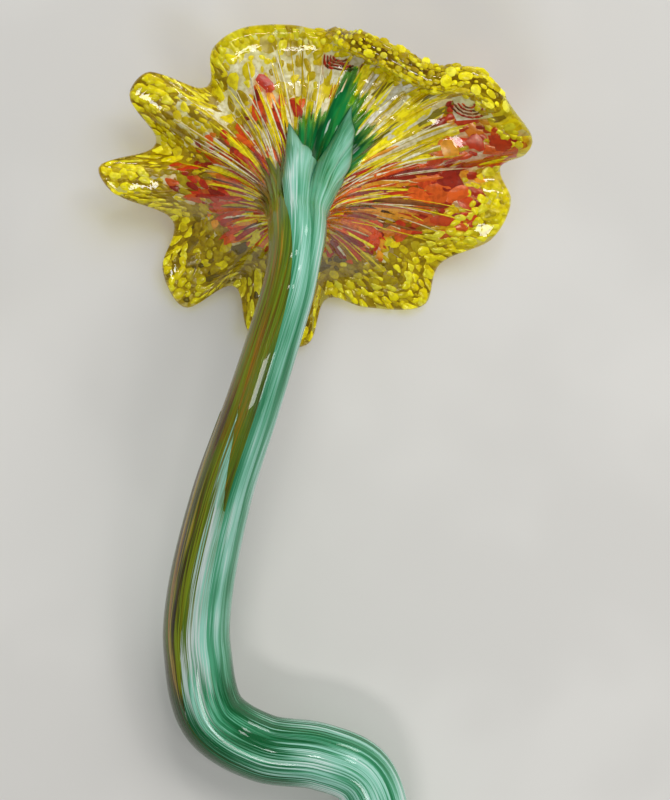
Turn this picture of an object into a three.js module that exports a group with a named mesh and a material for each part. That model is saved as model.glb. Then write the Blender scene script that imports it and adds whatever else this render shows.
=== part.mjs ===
// A long-stemmed glass lily, lying on its face as it rests on a table.
// Millimetres, +Z up. The origin is on the table, under the middle of the whole length.
import * as THREE from "three";

// Bell of the blossom
const NOD = THREE.MathUtils.degToRad(20); // lean of the bell's axis from the vertical
const BELL_DEPTH = 42; // neck to the general level of the rim
const BELL_RADIUS = 52; // middle reach of the rim from the axis
const BELL_WALL = 3.6;
const FLARE_POWER = 1.5; // above 1 the bell leaves the neck steeply and opens late
const LIP_BULGE = 0.45; // how far the rounded edge stands out, as a share of the wall
const NECK_LEAN = THREE.MathUtils.degToRad(20); // how far the throat bends over before the stem leaves it
const LEAN_START = 0.4; // share of the way from neck to rim where the throat begins to bend over
const THROAT_START = 0.2; // share of the way from neck to rim where the hollow begins
const LOBES_START = 0.3; // share of the way where the round throat turns into lobes
const CURL_START = 0.6; // share of the way where the lip begins to curl back
const ROLL_LIFT = 5; // lip rise above which the lip also leans back over the bell
const ROLL_SWELL = 0.45; // how much thicker the leaning lip is for each millimetre that it leans

// Rim of the bell, anticlockwise: heading in degrees, reach from the axis, rise toward the stem
const RIM = [
  // Right tip and rolled lip
  [9, 68.1, 9],
  [18, 65.5, 11],
  [29, 63, 13],
  [37, 54, 13],
  [53, 48.5, 12],
  [72, 47, 11],
  // Top lobe
  [81, 41, 4],
  [94, 42, 4],
  [112, 44, 4],
  [125, 42.5, 2],
  // Upper left lobe
  [136, 36, -2],
  [144, 51, 3],
  [154, 52.5, 3],
  // Left lobe
  [168, 42, -3],
  [176, 56.5, 3],
  [184, 53.5, 3],
  // Lower left lobe
  [201, 39.5, -3],
  [214, 48.5, -1],
  [229, 52, -1],
  // Bottom lobe
  [239, 37.5, 0],
  [252, 47.5, 4],
  [272, 48.5, 4],
  // Lower right lobe
  [282, 36.5, 0],
  [295, 43, -1],
  [313, 52.5, -1],
  // Right lobe
  [326, 48, -2],
  [342, 57.5, 2],
  [354, 60, 2],
  [362, 56.5, 0],
];

// Stem: outside radii, where they are met, and the bare rounded end
const NECK_RADIUS = 8;
const WAIST_RADIUS = 6.9;
const WAIST_AT = 16; // distance from the neck to the thinnest place
const BELLY_RADIUS = 9.8;
const BELLY_AT = 159; // distance from the neck to the thickest place
const END_RADIUS = 7.2;
const BEAD_RADIUS = 8;
const END_FLAT_RADIUS = 5;
const BARE_END = 14;
// Share of the bare end, share of the bead's swell
const BEAD_PROFILE = [[0.35, 1], [0.65, 1], [0.9, 0.55]];

// Layers of glass on the stem and on the bell's back
const TRAIL_THICKNESS = 1.4;
const FEATHER_THICKNESS = 0.6; // trails thin out to this at their points
const FEATHER_LENGTH = 8;
const CALYX_THICKNESS = 0.8;
const GAP = 0.3; // left between fused pieces
const LEAST_HALF_WIDTH = 0.1; // half the width of a trail's sharpest point

// Middle line of the stem: a short straight start, an arc over the neck, then places above the table
const NECK = { x: -10, y: 50.4 };
const NECK_RISE = 3;
const NECK_BEND = 20;
const NECK_TURN = THREE.MathUtils.degToRad(60);
const NECK_SWAY = 3; // how far the arc drifts to the left
const STEM_RUN = { x: 4, from: -188, length: 80 }; // straight run down to the ground end
const RUN_SHARES = [0.375, 0.6875, 1];
const ROUTE = [
  [-21.8, 0, 56],
  [-31.7, -27.7, 42],
  [-38.7, -56.9, 28],
  [-39.6, -72, 22.5],
  [-35.3, -92, 17.5],
  [-21.5, -101.2, 15.8],
  [-4.4, -104, 15],
  [7.6, -109.5, 14],
  [12.4, -121, 13],
  [12.6, -134, 12],
  [8, -160, 10.5],
  [4.5, STEM_RUN.from, 9],
  ...RUN_SHARES.map((share) => [STEM_RUN.x, STEM_RUN.from - STEM_RUN.length * share, BEAD_RADIUS]),
];

// Seams between the trails: distance from the neck, which is negative on the bell's back,
// and degrees clockwise from the top of the stem
const SEPAL_SEAM = [[-7.5, -29], [0, -25], [24, 6], [54, 14], [84, 17], [144, 25]];
const CLEFT_SEAM = [[-14.5, 25], [0, 22], [24, 44], [84, 51], [144, 60]];
const RIGHT_SEAM = [[-8, 82], [0, 80], [24, 98], [84, 105], [144, 112]];
const UNDER_SEAM = [[0, 150], [24, 168], [84, 176], [144, 184]];
const BACK_SEAM = [[0, 238], [24, 268], [64, 276], [84, 266], [144, 255]];
const AMBER_SEAM = [[0, -75], [24, -42], [54, -24]];
const WHITE_LEFT_SEAM = [[54, -27], [84, -18], [114, -18], [139, -28], [154, -36]];
const WHITE_RIGHT_SEAM = [[54, -22], [69, 1], [88, 17]];
const OUTER_SEAM = [[60, -80], [84, -70], [114, -60], [139, -48], [154, -36]];
const WHITE_START = 55; // where the white trail begins in a point, between the two amber ones
const OUTER_START = 60; // where the outer left trail begins in a point
const OLIVE_END = 85; // where the olive trail ends in a point
const AMBER_END = 148; // where the amber trail ends in a point
const AMBER_TOP = 6; // how far the amber and olive trails run up on the bell's neck

// Sepals on the bell's back, from their tips down both edges to where the seams begin
const LEFT_SEPAL = { tip: [-29, -9], left: [[-17, -17]], right: [[-21, 3]] };
const RIGHT_SEPAL = {
  tip: [-41, 33],
  left: [[-32, 32], [-22, 30]],
  right: [[-37, 38], [-31, 48], [-20, 64], [-14.5, 74]],
};
const UNDER_RIGHT_SEPAL = { tip: [-10, 112], left: [], right: [[-6, 130]] };
const UNDER_LEFT_SEPAL = { tip: [-18, 194], left: [[-13, 178]], right: [[-13, 210]] };

// Dark green patch under the sepals, from its tip down both edges
const CALYX = {
  tip: [-57, 26],
  left: [[-46, 24], [-38, 19], [-33, 3], [-27, -5], [-7, -9]],
  right: [[-46, 37], [-40, 46], [-34, 60], [-24, 70], [-7, 70]],
};

// Mesh fineness
const COLUMNS = 80;
const RING_SHARES = [0, 0.06, 0.13, 0.2, 0.29, 0.39, 0.5, 0.61, 0.72, 0.82, 0.91, 1];
const CORE_SIDES = 20;
const STRAIGHT_STEP = 18;
const TURN_STEP = THREE.MathUtils.degToRad(13);
const TRAIL_STEP = THREE.MathUtils.degToRad(18);
const CALYX_STEP = THREE.MathUtils.degToRad(6);
const POINT_SHARES = [1, 0.97, 0.9]; // closer places toward the end of a point
const SLOPE_STEP = 0.02; // for the slope of the bell's back

const { clamp, degToRad, lerp, smoothstep } = THREE.MathUtils;

// A smooth line through a few knots of place and value, level beyond both ends
function smoothLine(knots) {
  const slope = (i) => {
    const before = knots[Math.max(i - 1, 0)];
    const after = knots[Math.min(i + 1, knots.length - 1)];
    return (after[1] - before[1]) / (after[0] - before[0]);
  };
  return (place) => {
    const last = knots.length - 1;
    if (place <= knots[0][0]) return knots[0][1];
    if (place >= knots[last][0]) return knots[last][1];
    const i = knots.findIndex((knot) => knot[0] > place) - 1;
    const span = knots[i + 1][0] - knots[i][0];
    const t = (place - knots[i][0]) / span;
    const rise = span * (slope(i) * t * (1 - t) ** 2 - slope(i + 1) * t ** 2 * (1 - t));
    return lerp(knots[i][1], knots[i + 1][1], t * t * (3 - 2 * t)) + rise;
  };
}

// A closed solid through rings of equally many points, shut at both ends
function loft(rings) {
  const sides = rings[0].length;
  const positions = rings.flat().flatMap((point) => point.toArray());
  const faces = [];
  for (let i = 0; i + 1 < rings.length; i += 1) {
    for (let j = 0; j < sides; j += 1) {
      const a = i * sides + j;
      const b = i * sides + ((j + 1) % sides);
      faces.push([b, a, b + sides], [b + sides, a, a + sides]);
    }
  }
  for (let j = 0; j + 1 < sides / 2; j += 1) {
    const k = sides - 1 - j;
    const end = (rings.length - 1) * sides;
    faces.push([k, j, j + 1], [k - 1, k, j + 1]);
    faces.push([end + j + 1, end + j, end + k], [end + j + 1, end + k, end + k - 1]);
  }
  const geometry = new THREE.BufferGeometry();
  geometry.setAttribute("position", new THREE.Float32BufferAttribute(positions, 3));
  geometry.setIndex(faces.flat());
  return geometry;
}

function glass(color, opacity) {
  return new THREE.MeshStandardMaterial({
    color,
    roughness: 0.06,
    metalness: 0,
    opacity,
    transparent: opacity < 1,
  });
}

// Radius of the rod under the trails at the neck, which is the bell's own radius there
const LAYER = GAP + TRAIL_THICKNESS;
const BELL_NECK_RADIUS = NECK_RADIUS - LAYER;

// How much of a slope that begins part of the way to the rim is done
const slopeFrom = (start, share) => Math.max(0, (share - start) / (1 - start));

// How far the rolled lip leans back over the bell
function lipLean(share, rise) {
  return Math.max(0, rise - ROLL_LIFT) * slopeFrom(CURL_START, share) ** 3;
}

// Radius and level of the bell's back, a share of the way from neck to rim
function bellProfile(share, reach, rise) {
  const lobe = slopeFrom(LOBES_START, share) ** 2;
  const curl = slopeFrom(CURL_START, share);
  const flare = BELL_NECK_RADIUS + (BELL_RADIUS - BELL_NECK_RADIUS) * share ** FLARE_POWER;
  return {
    radius: flare + (reach - BELL_RADIUS) * lobe - lipLean(share, rise),
    level: -BELL_DEPTH * (1 - (1 - share) ** 2) + rise * (lobe + curl ** 2) / 2,
  };
}

// A point of the bell's back, where the throat bends over toward the stem
const leanLevel = bellProfile(LEAN_START, BELL_RADIUS, 0).level;
const neckDrift = (NECK_LEAN * leanLevel) / 3;
function bellPoint(share, heading, reach, rise) {
  const { radius, level } = bellProfile(share, reach, rise);
  const up = Math.max(0, 1 - level / leanLevel);
  const lean = NECK_LEAN * up ** 2;
  const across = radius * Math.sin(heading);
  return new THREE.Vector3(
    radius * Math.cos(heading),
    across * Math.cos(lean) + neckDrift * up ** 3,
    level + across * Math.sin(lean),
  );
}

// The rim's places, evenly spaced along its edge
const rimCurve = new THREE.CatmullRomCurve3(
  RIM.map(([heading, reach, rise]) => {
    const angle = degToRad(heading);
    return new THREE.Vector3(reach * Math.cos(angle), reach * Math.sin(angle), rise);
  }),
  true,
);
const rim = rimCurve.getSpacedPoints(COLUMNS).slice(0, COLUMNS).map((point) => ({
  heading: Math.atan2(point.y, point.x),
  reach: Math.hypot(point.x, point.y),
  rise: point.z,
}));

// The rim in one heading
function rimAt(heading) {
  const turnFrom = (start) => (((heading - start) % (2 * Math.PI)) + 2 * Math.PI) % (2 * Math.PI);
  const offsets = rim.map((place) => turnFrom(place.heading));
  const i = offsets.indexOf(Math.min(...offsets));
  const next = rim[(i + 1) % COLUMNS];
  const t = offsets[i] / (offsets[i] + 2 * Math.PI - turnFrom(next.heading));
  return { reach: lerp(rim[i].reach, next.reach, t), rise: lerp(rim[i].rise, next.rise, t) };
}

// Blossom, in its own frame: the neck at the origin, the stem leaving along +Z
function bellGeometry() {
  const back = RING_SHARES.map((share) =>
    rim.map(({ heading, reach, rise }) => bellPoint(share, heading, reach, rise)));
  const inward = (i, j) => {
    const along = new THREE.Vector3().subVectors(
      back[Math.min(i + 1, back.length - 1)][j], back[Math.max(i - 1, 0)][j]);
    const around = new THREE.Vector3().subVectors(
      back[i][(j + 1) % COLUMNS], back[i][(j + COLUMNS - 1) % COLUMNS]);
    return around.cross(along).normalize();
  };
  const wall = (i, j) => BELL_WALL + ROLL_SWELL * lipLean(RING_SHARES[i], rim[j].rise);
  const front = back.map((ring, i) =>
    ring.map((point, j) => point.clone().addScaledVector(inward(i, j), wall(i, j))));
  const last = back.length - 1;
  const lip = back[last].map((point, j) => {
    const middle = new THREE.Vector3().lerpVectors(point, front[last][j], 0.5);
    const outward = new THREE.Vector3().subVectors(point, back[last - 1][j]).normalize();
    return middle.addScaledVector(outward, wall(last, j) * LIP_BULGE);
  });
  const hollow = front.filter((ring, i) => RING_SHARES[i] >= THROAT_START).reverse();
  return loft([...back, lip, ...hollow]);
}

const bell = new THREE.Mesh(bellGeometry(), glass("#d8c53a", 0.5));
bell.name = "blossom_bell";
bell.rotation.x = NOD;

// The flower rests with its lowest lobes on the table
bell.updateMatrixWorld();
const lowest = new THREE.Box3().setFromObject(bell, true).min.z;
bell.position.set(NECK.x, NECK.y, -lowest);
bell.updateMatrixWorld();

// The stem's middle line, measured from the neck
const neck = bell.localToWorld(new THREE.Vector3(0, neckDrift, 0));
const neckNod = NOD + NECK_LEAN;
const axis = new THREE.Vector3(0, -Math.sin(neckNod), Math.cos(neckNod));
const alongAxis = (distance) => neck.clone().addScaledVector(axis, distance);
const neckArc = [0, 0.25, 0.5, 0.75, 1].map((share) => {
  const lean = neckNod + share * NECK_TURN;
  const over = NECK_BEND * (Math.cos(lean) - Math.cos(neckNod));
  const up = NECK_BEND * (Math.sin(lean) - Math.sin(neckNod));
  return alongAxis(NECK_RISE).add(new THREE.Vector3(-NECK_SWAY * share ** 2, over, up));
});
const stemCurve = new THREE.CatmullRomCurve3([
  alongAxis(-NECK_RISE),
  alongAxis(0),
  ...neckArc,
  ...ROUTE.map((place) => new THREE.Vector3(...place)),
]);
stemCurve.arcLengthDivisions = 2000;
const neckShare = 1 / (stemCurve.points.length - 1);
const lengths = stemCurve.getLengths();
const neckLength = lengths[Math.round(neckShare * stemCurve.arcLengthDivisions)];
const stemLength = stemCurve.getLength() - neckLength;

// Middle, direction, top side and right side of the stem at a distance from the neck
function stemFrame(distance) {
  const share = clamp((distance + neckLength) / stemCurve.getLength(), 0, 1);
  const middle = stemCurve.getPointAt(share);
  const along = stemCurve.getTangentAt(share);
  const top = new THREE.Vector3(0, 0, 1).addScaledVector(along, -along.z).normalize();
  const right = new THREE.Vector3().crossVectors(top, along);
  return { middle, along, top, right };
}

function stemRadius(distance) {
  const toWaist = smoothstep(distance, 0, WAIST_AT);
  const toBelly = smoothstep(distance, WAIST_AT, BELLY_AT);
  const toEnd = smoothstep(distance, BELLY_AT, stemLength - 2 * BARE_END);
  const upper = lerp(NECK_RADIUS, WAIST_RADIUS, toWaist);
  return lerp(lerp(upper, BELLY_RADIUS, toBelly), END_RADIUS, toEnd);
}

const bareStart = stemLength - BARE_END;
const trailEnd = bareStart - GAP;

// Places along the stem, close together in the bends
function stations(from, to) {
  const places = [from];
  let effort = 0;
  let before = stemFrame(from).along;
  for (let place = from; place < to; place += 1) {
    const { along } = stemFrame(place);
    effort += 1 / STRAIGHT_STEP + along.angleTo(before) / TURN_STEP;
    before = along;
    if (effort >= 1) {
      places.push(place);
      effort = 0;
    }
  }
  if (places.length > 1 && to - places.at(-1) < STRAIGHT_STEP / 6) places.pop();
  return [...places, to];
}

// One list of places for every trail, so that neighbours stay side by side
const marks = [0, WHITE_START, OUTER_START, OLIVE_END, AMBER_END, trailEnd];
const stemPlaces = marks.slice(1).flatMap((mark, i) => stations(marks[i], mark).slice(i === 0 ? 0 : 1));
const placesBetween = (from, to) => stemPlaces.filter((place) => place >= from && place <= to);

// Places on the bell's back, on its own rings, as negative distances from the neck
const meridian = new THREE.CatmullRomCurve3(RING_SHARES.map((share) =>
  bellPoint(share, 0, BELL_RADIUS, 0))).getLength();
function bellPlaces(from, to) {
  const rings = RING_SHARES.map((share) => -share * meridian).reverse();
  const point = POINT_SHARES.map((share) => from * share);
  return [...point, ...rings.filter((place) => place > point.at(-1) + 1 && place < to - 1), to];
}

// A point above the bell's back (negative distances) or the stem's rod, clockwise from the top
function skinPoint(distance, angle, height) {
  if (distance >= 0) {
    const { middle, top, right } = stemFrame(distance);
    const radius = stemRadius(distance) - LAYER + height;
    return middle
      .addScaledVector(top, radius * Math.cos(angle))
      .addScaledVector(right, radius * Math.sin(angle));
  }
  const share = -distance / meridian;
  const backPoint = (onward, turn) => {
    const heading = Math.PI / 2 - angle + turn;
    const { reach, rise } = rimAt(heading);
    return bellPoint(share + onward, heading, reach, rise);
  };
  const along = backPoint(SLOPE_STEP, 0).sub(backPoint(-SLOPE_STEP, 0));
  const around = backPoint(0, SLOPE_STEP).sub(backPoint(0, -SLOPE_STEP));
  const out = along.cross(around).normalize();
  return backPoint(0, 0).addScaledVector(out, height).applyMatrix4(bell.matrixWorld);
}

// A ribbon of glass lying on the skin between two edges
function ribbonGeometry({ places, left, right, under, thickness, turn = TRAIL_STEP }) {
  const widest = Math.max(...places.map((place) => right(place) - left(place)));
  const strips = Math.max(2, Math.ceil(widest / turn));
  const rings = places.map((place) => {
    const radius = stemRadius(Math.max(place, 0)) - LAYER;
    const middle = (left(place) + right(place)) / 2;
    const half = (right(place) - left(place)) / 2;
    const kept = Math.max(half - GAP / 2 / radius, LEAST_HALF_WIDTH / radius);
    const angles = Array.from({ length: strips + 1 }, (unused, j) => middle + kept * (2 * j / strips - 1));
    const low = under(place);
    const high = low + thickness(place);
    return [
      ...angles.map((angle) => skinPoint(place, angle, high)),
      ...angles.reverse().map((angle) => skinPoint(place, angle, low)),
    ];
  });
  return loft(rings);
}

const inRadians = (knots) => smoothLine(knots.map(([place, angle]) => [place, degToRad(angle)]));
const sepalSeam = inRadians(SEPAL_SEAM);
const backSeam = inRadians(BACK_SEAM);
const leftSeam = (place) => backSeam(place) - 2 * Math.PI;
const amberSeam = inRadians(AMBER_SEAM);
const whiteLeftSeam = inRadians(WHITE_LEFT_SEAM);
const whiteRightSeam = inRadians(WHITE_RIGHT_SEAM);
const outerSeam = inRadians(OUTER_SEAM);

// Full thickness along the middle, thin at both ends
function feathered(start, end) {
  return (place) => {
    const inside = Math.min(place - start, end - place);
    return lerp(FEATHER_THICKNESS, TRAIL_THICKNESS, smoothstep(inside, 0, FEATHER_LENGTH));
  };
}

const lily = new THREE.Group();
lily.add(bell);

function addPiece(name, geometry, material) {
  const mesh = new THREE.Mesh(geometry, material);
  mesh.name = name;
  lily.add(mesh);
}

// Core of the stem, with a shoulder for the trails and a bare rounded end, ground flat
function coreGeometry() {
  const ring = (place, radius) => {
    const { middle, top, right } = stemFrame(place);
    return Array.from({ length: CORE_SIDES }, (unused, j) => {
      const angle = (2 * Math.PI * j) / CORE_SIDES;
      return middle.clone()
        .addScaledVector(top, radius * Math.cos(angle))
        .addScaledVector(right, radius * Math.sin(angle));
    });
  };
  const rodPlaces = [GAP, ...stemPlaces.slice(1, -1), bareStart];
  const rod = rodPlaces.map((place) => ring(place, stemRadius(place) - LAYER));
  return loft([
    ...rod,
    ring(bareStart, END_RADIUS),
    ...BEAD_PROFILE.map(([share, swell]) =>
      ring(bareStart + BARE_END * share, lerp(END_FLAT_RADIUS, BEAD_RADIUS, swell))),
    ring(stemLength, END_FLAT_RADIUS),
  ]);
}
addPiece("stem_core", coreGeometry(), glass("#6f7a1e", 1));

// Dark green patch on the bell's back, under the two top sepals
const calyxStart = CALYX.left.at(-1)[0];
addPiece(
  "green_calyx",
  ribbonGeometry({
    places: bellPlaces(CALYX.tip[0], calyxStart),
    turn: CALYX_STEP,
    left: inRadians([CALYX.tip, ...CALYX.left]),
    right: inRadians([CALYX.tip, ...CALYX.right]),
    under: () => GAP,
    thickness: () => CALYX_THICKNESS,
  }),
  glass("#0b5a2a", 0.8),
);

// Trails whose top ends are sepals on the bell's back; the top two pass over the green patch
const OVER_CALYX = GAP + CALYX_THICKNESS;
const SEPALS = [
  { name: "left_sepal_trail", left: SEPAL_SEAM, right: CLEFT_SEAM, sepal: LEFT_SEPAL, over: OVER_CALYX },
  { name: "right_sepal_trail", left: CLEFT_SEAM, right: RIGHT_SEAM, sepal: RIGHT_SEPAL, over: OVER_CALYX },
  { name: "under_right_trail", left: RIGHT_SEAM, right: UNDER_SEAM, sepal: UNDER_RIGHT_SEPAL, over: 0 },
  { name: "under_left_trail", left: UNDER_SEAM, right: BACK_SEAM, sepal: UNDER_LEFT_SEPAL, over: 0 },
];
for (const { name, left, right, sepal, over } of SEPALS) {
  const [reach] = sepal.tip;
  const edge = (knots, seam) => {
    const beyond = inRadians([sepal.tip, ...knots, seam[0]]);
    const beside = inRadians(seam);
    return (place) => (place < seam[0][0] ? beyond : beside)(place);
  };
  addPiece(
    name,
    ribbonGeometry({
      places: [...bellPlaces(reach, 0).slice(0, -1), ...stemPlaces],
      left: edge(sepal.left, left),
      right: edge(sepal.right, right),
      under: (place) => GAP + over * smoothstep(-place, 0, -calyxStart),
      thickness: feathered(reach, stemLength),
    }),
    glass("#93cdb4", 1),
  );
}

// Trails that begin or end in a point on the stem
const POINTED = [
  {
    name: "amber_trail",
    from: -AMBER_TOP,
    to: AMBER_END,
    left: (place) => (place < OUTER_START ? leftSeam : outerSeam)(place),
    right: (place) => (place < WHITE_START ? amberSeam : whiteLeftSeam)(place),
    material: glass("#8a6f14", 0.9),
  },
  {
    name: "olive_trail",
    from: -AMBER_TOP,
    to: OLIVE_END,
    left: (place) => (place < WHITE_START ? amberSeam : whiteRightSeam)(place),
    right: sepalSeam,
    material: glass("#6d7416", 0.9),
  },
  {
    name: "white_trail",
    from: WHITE_START,
    to: trailEnd,
    left: whiteLeftSeam,
    right: (place) => (place <= OLIVE_END ? whiteRightSeam : sepalSeam)(place),
    material: glass("#cfe3da", 1),
  },
  {
    name: "outer_left_trail",
    from: OUTER_START,
    to: trailEnd,
    left: leftSeam,
    right: outerSeam,
    material: glass("#8fae90", 1),
  },
];
for (const { name, from, to, left, right, material } of POINTED) {
  const top = from < 0 ? [from, from / 2] : [];
  addPiece(
    name,
    ribbonGeometry({
      places: [...top, ...placesBetween(from, to)],
      left,
      right,
      under: () => GAP,
      thickness: from < 0 ? feathered(from, stemLength) : () => TRAIL_THICKNESS,
    }),
    material,
  );
}

// The origin goes under the middle of the whole length
lily.updateMatrixWorld(true);
const box = new THREE.Box3().setFromObject(lily, true);
const middle = box.getCenter(new THREE.Vector3());
lily.position.set(-middle.x, -middle.y, -box.min.z);

export default lily;
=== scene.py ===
"""Glass lily: the looks of a long-stemmed glass flower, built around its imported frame."""

import math

import bpy
import numpy as np
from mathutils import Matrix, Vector


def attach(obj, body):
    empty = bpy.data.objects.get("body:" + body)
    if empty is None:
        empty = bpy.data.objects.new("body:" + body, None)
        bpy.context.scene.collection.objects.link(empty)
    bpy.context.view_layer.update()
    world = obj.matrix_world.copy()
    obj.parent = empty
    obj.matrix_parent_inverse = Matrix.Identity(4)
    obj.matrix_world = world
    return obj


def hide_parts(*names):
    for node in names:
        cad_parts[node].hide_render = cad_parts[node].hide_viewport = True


bl_info = {
    "name": "Glass Lily",
    "version": (1, 0, 0),
    "blender": (4, 5, 0),
    "location": "View3D > Sidebar > Lily",
    "description": "Blows, trails and lights a glass lily around its frame",
    "category": "Add Mesh",
}

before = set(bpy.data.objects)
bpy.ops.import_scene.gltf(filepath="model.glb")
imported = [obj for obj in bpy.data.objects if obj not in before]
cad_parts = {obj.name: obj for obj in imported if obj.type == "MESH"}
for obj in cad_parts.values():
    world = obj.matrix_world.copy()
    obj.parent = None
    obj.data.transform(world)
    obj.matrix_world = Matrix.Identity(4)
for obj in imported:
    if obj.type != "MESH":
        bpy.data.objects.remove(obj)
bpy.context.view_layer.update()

# Everything below is in millimetres until a mesh is written.
MM = 0.001

# Rim of the bell, anticlockwise: heading in degrees, reach from the axis, rise toward the stem
RIM = (
    (9, 68.1, 9), (18, 65.5, 11), (29, 63, 13), (37, 54, 13), (53, 48.5, 12), (72, 47, 11),
    (81, 41, 4), (94, 42, 4), (112, 44, 4), (125, 42.5, 2),
    (136, 36, -2), (144, 51, 3), (154, 52.5, 3),
    (168, 42, -3), (176, 56.5, 3), (184, 53.5, 3),
    (201, 39.5, -3), (214, 48.5, -1), (229, 52, -1),
    (239, 37.5, 0), (252, 47.5, 4), (272, 48.5, 4),
    (282, 36.5, 0), (295, 43, -1), (313, 52.5, -1),
    (326, 48, -2), (342, 57.5, 2), (354, 60, 2), (362, 56.5, 0),
)

# Where the bell's neck stands, and the stem's middle line beyond the arc over the neck
MIDDLE = np.array((6.1095, 81.4198, 0.0))
NECK = MIDDLE + (-10, 50.4, 57.1943)
NECK_RISE = 3.0
NECK_BEND = 20.0
NECK_TURN = math.radians(60)
NECK_SWAY = 3.0
NECK_LEAN = math.radians(20)
LEAN_START = 0.4
NOD = math.radians(20)
ROUTE = MIDDLE + (
    (-21.8, 0, 56), (-31.7, -27.7, 42), (-38.7, -56.9, 28), (-39.6, -72, 22.5),
    (-35.3, -92, 17.5), (-21.5, -101.2, 15.8), (-4.4, -104, 15), (7.6, -109.5, 14),
    (12.4, -121, 13), (12.6, -134, 12), (8, -160, 10.5), (4.5, -188, 9),
    (4, -218, 8), (4, -243, 8), (4, -268, 8),
)

# Seams between the trails: distance from the neck, which is negative on the bell's back,
# and degrees clockwise from the stem's top side
SEAMS = {
    "sepal": ((-7.5, -29), (0, -25), (24, 6), (54, 14), (84, 17), (144, 25)),
    "cleft": ((-14.5, 25), (0, 22), (24, 44), (84, 51), (144, 60)),
    "right": ((-8, 82), (0, 80), (24, 98), (84, 105), (144, 112)),
    "under": ((0, 150), (24, 168), (84, 176), (144, 184)),
    "back": ((0, 238), (24, 268), (64, 276), (84, 266), (144, 255)),
    "left": ((0, -122), (24, -92), (64, -84), (84, -94), (144, -105)),
    "amber": ((0, -75), (24, -42), (54, -24)),
    "white_left": ((54, -24.5), (84, -18), (114, -18), (139, -28), (154, -36)),
    "white_right": ((54, -23.5), (70, -4), (81, 9), (88, 17)),
    "outer": ((60, -80), (84, -70), (114, -60), (139, -48), (154, -36)),
}
CURVE_STEPS = 60


def catmull(points, closed=False):
    """A dense smooth line through points, with the same curve as the frame's."""
    pts = np.asarray(points, float)
    if closed:
        ring = np.vstack((pts[-1], pts, pts[0], pts[1]))
    else:
        ring = np.vstack((2 * pts[0] - pts[1], pts, 2 * pts[-1] - pts[-2]))
    t = np.linspace(0, 1, CURVE_STEPS, endpoint=False)[:, None]
    spans = []
    for p0, p1, p2, p3 in zip(ring, ring[1:], ring[2:], ring[3:]):
        pairs = ((p0, p1), (p1, p2), (p2, p3))
        d0, d1, d2 = (max(np.sum((b - a) ** 2), 1e-12) ** 0.25 for a, b in pairs)
        m1 = ((p1 - p0) / d0 - (p2 - p0) / (d0 + d1) + (p2 - p1) / d1) * d1
        m2 = ((p2 - p1) / d1 - (p3 - p1) / (d1 + d2) + (p3 - p2) / d2) * d1
        spans.append(
            p1 + m1 * t + (3 * (p2 - p1) - 2 * m1 - m2) * t**2 + (2 * (p1 - p2) + m1 + m2) * t**3
        )
    spans.append(ring[-2:-1] if closed else pts[-1:])
    return np.vstack(spans)


def lengths_along(line):
    """The distance of each point of a line from its first one."""
    return np.concatenate(([0.0], np.cumsum(np.linalg.norm(np.diff(line, axis=0), axis=1))))


def smooth_line(knots, place):
    """A smooth line through a few knots of place and value, level beyond both ends."""
    x, y = np.array(knots, float).T
    ends = np.clip(np.arange(len(x))[:, None] + (-1, 1), 0, len(x) - 1)
    slope = (y[ends[:, 1]] - y[ends[:, 0]]) / (x[ends[:, 1]] - x[ends[:, 0]])
    place = np.clip(np.asarray(place, float), x[0], x[-1])
    i = np.clip(np.searchsorted(x, place, side="right") - 1, 0, len(x) - 2)
    span = x[i + 1] - x[i]
    t = (place - x[i]) / span
    rise = span * (slope[i] * t * (1 - t) ** 2 - slope[i + 1] * t**2 * (1 - t))
    return y[i] + (y[i + 1] - y[i]) * t * t * (3 - 2 * t) + rise


def smoothstep(x, low, high):
    """A smooth rise from 0 at low to 1 at high."""
    t = np.clip((np.asarray(x, float) - low) / (high - low), 0, 1)
    return t * t * (3 - 2 * t)


def window(x, start, full, waning, end):
    """0 up to start, 1 from full to waning and 0 again from end."""
    return smoothstep(x, start, full) * (1 - smoothstep(x, waning, end))


def unit(v):
    return v / np.maximum(np.linalg.norm(v, axis=-1, keepdims=True), 1e-12)


# The bell's back, in the bell's own frame: the neck at the origin, the stem leaving along +Z
BELL_DEPTH = 42.0
BELL_RADIUS = 52.0
BELL_WALL = 3.6
BELL_NECK = 6.3
FLARE_POWER = 1.5
THROAT_START = 0.2
LOBES_START = 0.3
CURL_START = 0.6
ROLL_RISE = 5.0
ROLL_SWELL = 0.45
COLUMNS = 288
ROWS = 72

# Pulled folds of the back, and the fine ripples between them: how many go round, phase and height
FOLDS = (9, 0.6, 0.5)
RIPPLES = ((23, 0.4, 0.22), (31, 2.1, 0.2), (43, 4.0, 0.14))


def curled(share):
    """How far the lip's curl has gone, from 0 at its start to 1 at the rim."""
    return np.maximum(0, (share - CURL_START) / (1 - CURL_START))


def profile(share, reach, rise):
    """Radius and level of the bell's back, a share of the way from neck to rim."""
    lobe = np.maximum(0, (share - LOBES_START) / (1 - LOBES_START)) ** 2
    curl = curled(share)
    lean = np.maximum(0, rise - ROLL_RISE) * curl**3
    flare = (BELL_RADIUS - BELL_NECK) * share**FLARE_POWER
    radius = BELL_NECK + flare + (reach - BELL_RADIUS) * lobe - lean
    level = -BELL_DEPTH * (1 - (1 - share) ** 2) + rise * (lobe + curl**2) / 2
    return radius, level


LEAN_LEVEL = profile(LEAN_START, BELL_RADIUS, 0.0)[1]
NECK_DRIFT = NECK_LEAN * LEAN_LEVEL / 3


def bent(points):
    """Points of the bell's back where its throat bends over toward the stem."""
    x, y, z = np.moveaxis(np.asarray(points, float), -1, 0)
    up = np.maximum(0, 1 - z / LEAN_LEVEL)
    lean = NECK_LEAN * up**2
    return np.stack((x, y * np.cos(lean) + NECK_DRIFT * up**3, z + y * np.sin(lean)), -1)


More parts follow.
